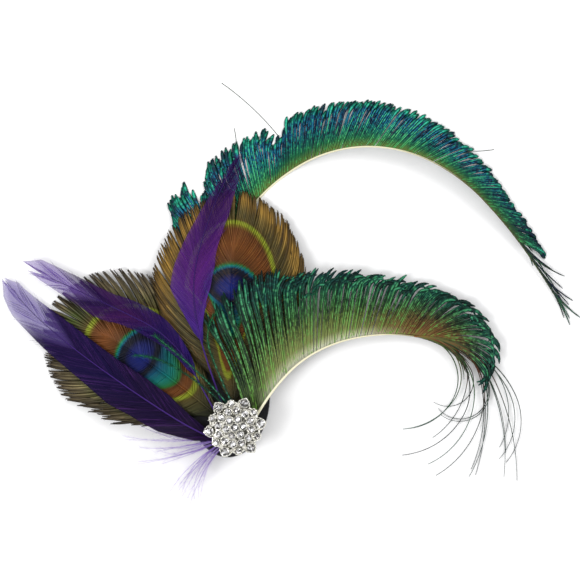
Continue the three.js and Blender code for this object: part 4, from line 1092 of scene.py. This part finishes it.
down_lines = fan_lines((-0.5, -0.5), DOWN_FACING, DOWN_ROWS, DOWN_LENGTH, 0, DOWN_STRAND, copies=5,
                       steps=20, seed=91, spread=1.2)
down = gather_parts("lilac_down", strands(
    down_lines, DOWN_RADIUS, seed=92, per_mm=3.0, fluff=DOWN_FLUFF, angle=26))
lilac = ramp_over("out", [(0.0, 90, 60, 150), (0.3, 160, 135, 205), (1.0, 205, 190, 230)])
# The pale lit colour paints glints on the down, and the dark colour paints shade along its strands.
barb_material(
    "lilac_down_dye", down, lilac, dark=(100, 75, 160), lit=[(225, 215, 240)], darkness=0.5, glint=0.4,
    metal=0.0, roughness=0.7)
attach(down, "root")
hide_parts("purple_down_tuft")

# Loose green herls
# Three single herls from a peacock tail laid over the feathers. Short bright barbules stand along
# each on both sides.
HERL_LENGTH = 46 * MM
HERL_STRAND = 0.5 * MM
HERL_RADIUS = 0.3 * MM
HERL_FLUFF = 2.5 * MM
HERL_FACING = 122
HERL_ROWS = [(116, 0.6, 110, 52, 0.92, 0), (128, 0.5, 137, 143, 0.95, 0), (134, 0.6, 148, 176, 1, 0)]
herl_lines = fan_lines((-0.05, 0.5), HERL_FACING, HERL_ROWS, HERL_LENGTH, 3, HERL_STRAND, copies=1,
                       steps=40, seed=95, spread=0.0)
herls = gather_parts("green_herls", strands(
    herl_lines, HERL_RADIUS, seed=96, per_mm=16.0, fluff=HERL_FLUFF, angle=22, start=0.03,
    width=0.2 * MM))
green = ramp_over("out", [(0.0, 12, 38, 28), (0.5, 15, 70, 48), (1.0, 20, 105, 65)])
# The lit colours paint bright glints along the herls, and the dark colour paints shade along their edges.
barb_material(
    "herl_green", herls, green, dark=(5, 18, 20), lit=[(60, 150, 120), (80, 175, 100)], glint=0.6,
    metal=0.4, roughness=0.3)
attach(herls, "root")
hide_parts("loose_green_herls")

# Brooch setting
# A star-shaped rhinestone setting cast in pale metal: pointed petals with raised rims, a low
# dome, and a cup with small prongs round each stone.
BROOCH = np.array([0, -BROOCH_DROP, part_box("brooch_setting")[0][2]])
STAR_PHASE = 8.5
# A ring's row holds its name, the number of stones, their distance out and width as shares of the
# brooch's radius, their tilt, the height of their seats as a share of that radius, and the ring's
# turn from the long points.
RINGS = [
    ("centre", 1, 0, 0.235, 0, 0.17, 0), ("inner", 6, 0.256, 0.215, 7, 0.14, 0),
    ("middle", 12, 0.5, 0.22, 14, 0.08, 15), ("short_point", 6, 0.725, 0.215, 20, 0.045, 30),
    ("long_point", 6, 0.775, 0.275, 20, 0.045, 0)]
SHORT_POINT = 0.885
VALLEY = 0.76
TIP_RISE = 0.07
SUNK = 0.3 * MM
PLATE = 0.75 * MM
DOME = 1.3 * MM
LIP_INSET = 0.42 * MM
LIP_WIDTH = 0.45 * MM
SPOKES = 288
CUP_SIDES = 24
PRONG = 0.28 * MM
PRONG_OUT = 0.14 * MM


def petal(point, away):
    """Reach of a petal, as a share of the star's, away from 0 at its middle to 1 at its side: a
    round shoulder over the valley between petals, and a small straight-sided peak."""
    shoulder = np.sqrt(np.clip(1 - away ** 2, 0, 1))
    return VALLEY + (point - TIP_RISE - VALLEY) * shoulder + TIP_RISE * np.clip(1 - away * 2.1, 0, 1)


def star_plate():
    """A grid of rings and spokes: the top rises from the rim to a low dome, with a rounded lip
    along the edge, then the side drops to a flat underside. The star's edge is the farther of a
    long petal and a short one, which take turns every thirty degrees."""
    cosines, sines = circle(SPOKES)
    turn = (np.degrees(np.linspace(0, 2 * np.pi, SPOKES, endpoint=False)) - STAR_PHASE) % 60
    near_long = np.minimum(turn, 60 - turn)
    to_long = np.clip(near_long / 15, 0, 1)
    to_short = np.clip((30 - near_long) / 15, 0, 1)
    reach = np.maximum(petal(1.0, to_long), petal(SHORT_POINT, to_short)) * BROOCH_RADIUS
    share = np.concatenate([np.linspace(0.08, 0.86, 14), np.linspace(0.88, 1.0, 9)])
    radius = share[:, None] * reach[None]
    dome = DOME * np.clip(1 - (radius / (0.66 * BROOCH_RADIUS)) ** 2, 0, 1) ** 0.8
    from_edge = (1 - share[:, None]) * reach[None]
    lip = np.sqrt(np.clip(1 - ((from_edge - LIP_INSET) / LIP_WIDTH) ** 2, 0, 1))
    top = np.stack([radius * cosines, radius * sines, PLATE + dome + PLATE * lip], axis=-1)
    edge = np.stack([reach * cosines, reach * sines, np.zeros(SPOKES)], axis=-1)[None]
    rings = np.concatenate([top, edge, edge * [0.08, 0.08, 1]])
    points = np.concatenate([rings.reshape(-1, 3), [[0, 0, PLATE + DOME], [0, 0, 0]]]) + BROOCH
    # Only the lip is marked raised, for bright metal; the rest of the top takes the painted shade of the
    # recesses.
    raised = np.concatenate([lip.ravel(), np.zeros(len(points) - lip.size)])
    faces = [hoops(len(rings), SPOKES)[:, [0, 3, 2, 1]], end_fans(len(rings), SPOKES)[:, [0, 2, 1]]]
    return points, faces, {"raised": raised}


def seat_frame(ring, number):
    """Turns points from a stone's own frame into the part's: out along its spoke and tipped."""
    _, count, out, _, tilt, seat, phase = ring
    spin = math.radians(STAR_PHASE + phase + 360 * number / count)
    lean = math.radians(tilt)
    tip = np.array([[math.cos(lean), 0, math.sin(lean)], [0, 1, 0], [-math.sin(lean), 0, math.cos(lean)]])
    turn = np.array([[math.cos(spin), -math.sin(spin), 0], [math.sin(spin), math.cos(spin), 0], [0, 0, 1]])

    def put(points):
        tipped = points @ tip.T + np.array([out * BROOCH_RADIUS, 0, 0])
        return tipped @ turn.T + BROOCH + np.array([0, 0, seat * BROOCH_RADIUS])

    return put


def lathe(radius, level, sides):
    """Rings of points, each a radius from the upright axis at a level."""
    cosines, sines = circle(sides)
    radius = np.array(radius)[:, None]
    height = np.broadcast_to(np.array(level)[:, None], (len(radius), sides))
    return np.stack([radius * cosines, radius * sines, height], axis=-1).reshape(-1, 3)


def bead(centre, radius):
    """A small ball: rings at four angles between two poles."""
    rise = np.radians([-50, -10, 30, 62])
    points = np.concatenate([lathe(np.cos(rise), np.sin(rise), 7), [[0, 0, -1], [0, 0, 1]]])
    return points * radius + centre, [hoops(4, 7), end_fans(4, 7)]


def girdle_height(diameter):
    """Height of a stone's girdle over its seat: a share of its width, less how far it is sunk."""
    return 0.42 * diameter - SUNK


def cup_top(diameter):
    """The cup's rim stands a twentieth of the stone's width over its girdle."""
    return girdle_height(diameter) + 0.05 * diameter


def cup(diameter):
    """A turned cup round a stone: the wall's rounded top, its outside, and a floor that runs in
    under the stone."""
    top = cup_top(diameter)
    inside, outside = diameter / 2 + 0.04 * MM, diameter / 2 + 0.24 * MM
    # Each ring's raised value sets how much bright metal it shows over the painted shade of the recesses:
    # most on the rim, none down the outside and on the floor.
    radius, level, raised = zip(
        (inside, top - 0.1 * MM, 0.6), (inside + 0.06 * MM, top + 0.04 * MM, 1),
        (outside - 0.08 * MM, top + 0.02 * MM, 0.9), (outside, top - 0.12 * MM, 0.4),
        (outside - 0.06 * MM, 0.1 * MM, 0), (0.25 * MM, 0.02 * MM, 0), (0.25 * MM, 0.14 * MM, 0),
        (inside - 0.3 * MM, 0.3 * MM, 0))
    faces = hoops(len(radius), CUP_SIDES, closed=True)[:, ::-1]
    return lathe(radius, level, CUP_SIDES), faces, {"raised": np.repeat(raised, CUP_SIDES)}


setting_parts = [star_plate()]
for ring in RINGS:
    _, count, _, width = ring[:4]
    diameter = width * BROOCH_RADIUS
    cup_points, cup_faces, cup_values = cup(diameter)
    for number in range(count):
        put = seat_frame(ring, number)
        setting_parts.append((put(cup_points), cup_faces, cup_values))
        for spin in np.radians([45, 135, 225, 315]):
            centre = np.array([math.cos(spin), math.sin(spin), 0]) * (diameter / 2 + PRONG_OUT)
            points, faces = bead(centre + [0, 0, cup_top(diameter)], PRONG)
            setting_parts.append((put(points), faces, {"raised": np.ones(len(points))}))
setting = gather_parts("cast_setting", setting_parts)
# Raised rims, lips and prongs take the bright pale metal. Lower parts take a darker colour with dark
# specks: painted shade in the recesses between the cups.
_, add, surface = new_material("pale_metal", setting)
place = add("TexCoord", out="Object")
worn = add("TexNoise", Vector=place, Scale=350.0, Detail=4.0)
bright = ramp(add, worn, [(0.3, 0.8, 0.78, 0.68), (0.65, 0.95, 0.94, 0.88)], screen=False)
recess_shade_noise = add("TexNoise", Vector=place, Scale=900.0, Detail=1.0)
painted_recess_shade = ramp(add, recess_shade_noise, [
    (0.42, 0.06, 0.06, 0.05), (0.48, 0.42, 0.4, 0.35), (0.56, 0.85, 0.83, 0.76)], screen=False)
surface(
    Base_Color=mix(add, value_of(add, "raised"), painted_recess_shade, bright), Metallic=0.8,
    Roughness=add("MapRange", Value=worn, To_Min=0.14, To_Max=0.32),
    Normal=add("Bump", Height=worn, Strength=0.15, Distance=0.1 * MM))
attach(setting, "root")
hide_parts("brooch_setting")

# Stones
# Round clear rhinestones, cut with a table, a faceted crown and a shallow pavilion backed with
# foil. Each sits in its cup, held by the prongs.
crystal, _, surface = new_material("crystal")
surface(Base_Color=(0.98, 0.98, 1.0, 1), Roughness=0.0, IOR=1.6, Transmission_Weight=1.0)
foil, add, surface = new_material("foil")
# The foil's colour is specked from black to white: painted reflections, the mosaic of dark and bright
# facets.
painted_reflection_specks = add("TexNoise", Vector=add("TexCoord", out="Object"), Scale=1100.0, Detail=1.0)
surface(
    Base_Color=ramp(add, painted_reflection_specks, [
        (0.38, 0.05, 0.05, 0.055), (0.43, 0.5, 0.46, 0.4), (0.48, 0.85, 0.84, 0.82), (0.55, 1.0, 1.0, 1.0)],
        screen=False),
    Metallic=1.0, Roughness=0.05)


def brilliant(diameter):
    """A round cut: an eight-sided table, eight mid points turned half a step, sixteen girdle
    points above and below, eight lower mid points and a culet. Gives the points, the crown's
    faces and then the foil-backed ones."""
    eight = np.radians(np.arange(8) * 45)
    half = eight + np.radians(22.5)
    sixteen = np.radians(np.arange(16) * 22.5)

    def ring(spin, out, level):
        return np.stack([out * np.cos(spin), out * np.sin(spin), np.full(len(spin), level)], axis=1)

    def facets(*corners):
        return np.stack(corners, axis=1)

    radius = diameter / 2
    points = np.concatenate([
        ring(eight, 0.56 * radius, 0.23 * diameter), ring(half, 0.82 * radius, 0.15 * diameter),
        ring(sixteen, radius, 0.06 * diameter), ring(sixteen, radius, 0.0),
        ring(half, 0.5 * radius, -0.1 * diameter), [[0, 0, -0.15 * diameter]]])
    k = np.arange(8)
    s = np.arange(16)
    upper_mid, girdle, lower_girdle, lower_mid, culet = 8 + k, 16 + s, 32 + s, 48 + k, np.full(8, 56)
    even, odd, after = 2 * k, 2 * k + 1, (2 * k + 2) % 16
    after_k, before_k, after_s = (k + 1) % 8, (k - 1) % 8, (s + 1) % 16
    crown = np.concatenate([
        facets(k, upper_mid, after_k), facets(k, upper_mid[before_k], girdle[even]),
        facets(k, girdle[even], upper_mid), facets(upper_mid, girdle[even], girdle[odd]),
        facets(upper_mid, girdle[odd], girdle[after])])
    rim = facets(girdle, lower_girdle, lower_girdle[after_s], girdle[after_s])
    pavilion = np.concatenate([
        facets(lower_girdle[even], lower_mid, lower_girdle[odd]),
        facets(lower_girdle[odd], lower_mid, lower_girdle[after]),
        facets(lower_girdle[even], lower_mid[before_k], lower_mid),
        facets(lower_mid, culet, lower_mid[after_k])])
    return points, [k[None], crown, rim, pavilion]


for ring in RINGS:
    name, count, _, width = ring[:4]
    diameter = width * BROOCH_RADIUS
    cut, faces = brilliant(diameter)
    cut[:, 2] += girdle_height(diameter)
    first_points = len(cut) * np.arange(count)[:, None, None]
    faces = [(first_points + block).reshape(-1, block.shape[1]) for block in faces]
    points = np.concatenate([seat_frame(ring, number)(cut) for number in range(count)])
    stones = new_mesh("stones_" + name, points, faces)
    stones.data.materials.append(crystal)
    stones.data.materials.append(foil)
    backed = np.repeat([0, 1], [sum(len(block) for block in faces[:3]), len(faces[3])])
    stones.data.polygons.foreach_set("material_index", backed.astype(np.int32))
    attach(stones, "root")
    numbers = [""] if count == 1 else ["_" + str(n + 1) for n in range(count)]
    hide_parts(*["stone_" + name + number for number in numbers])
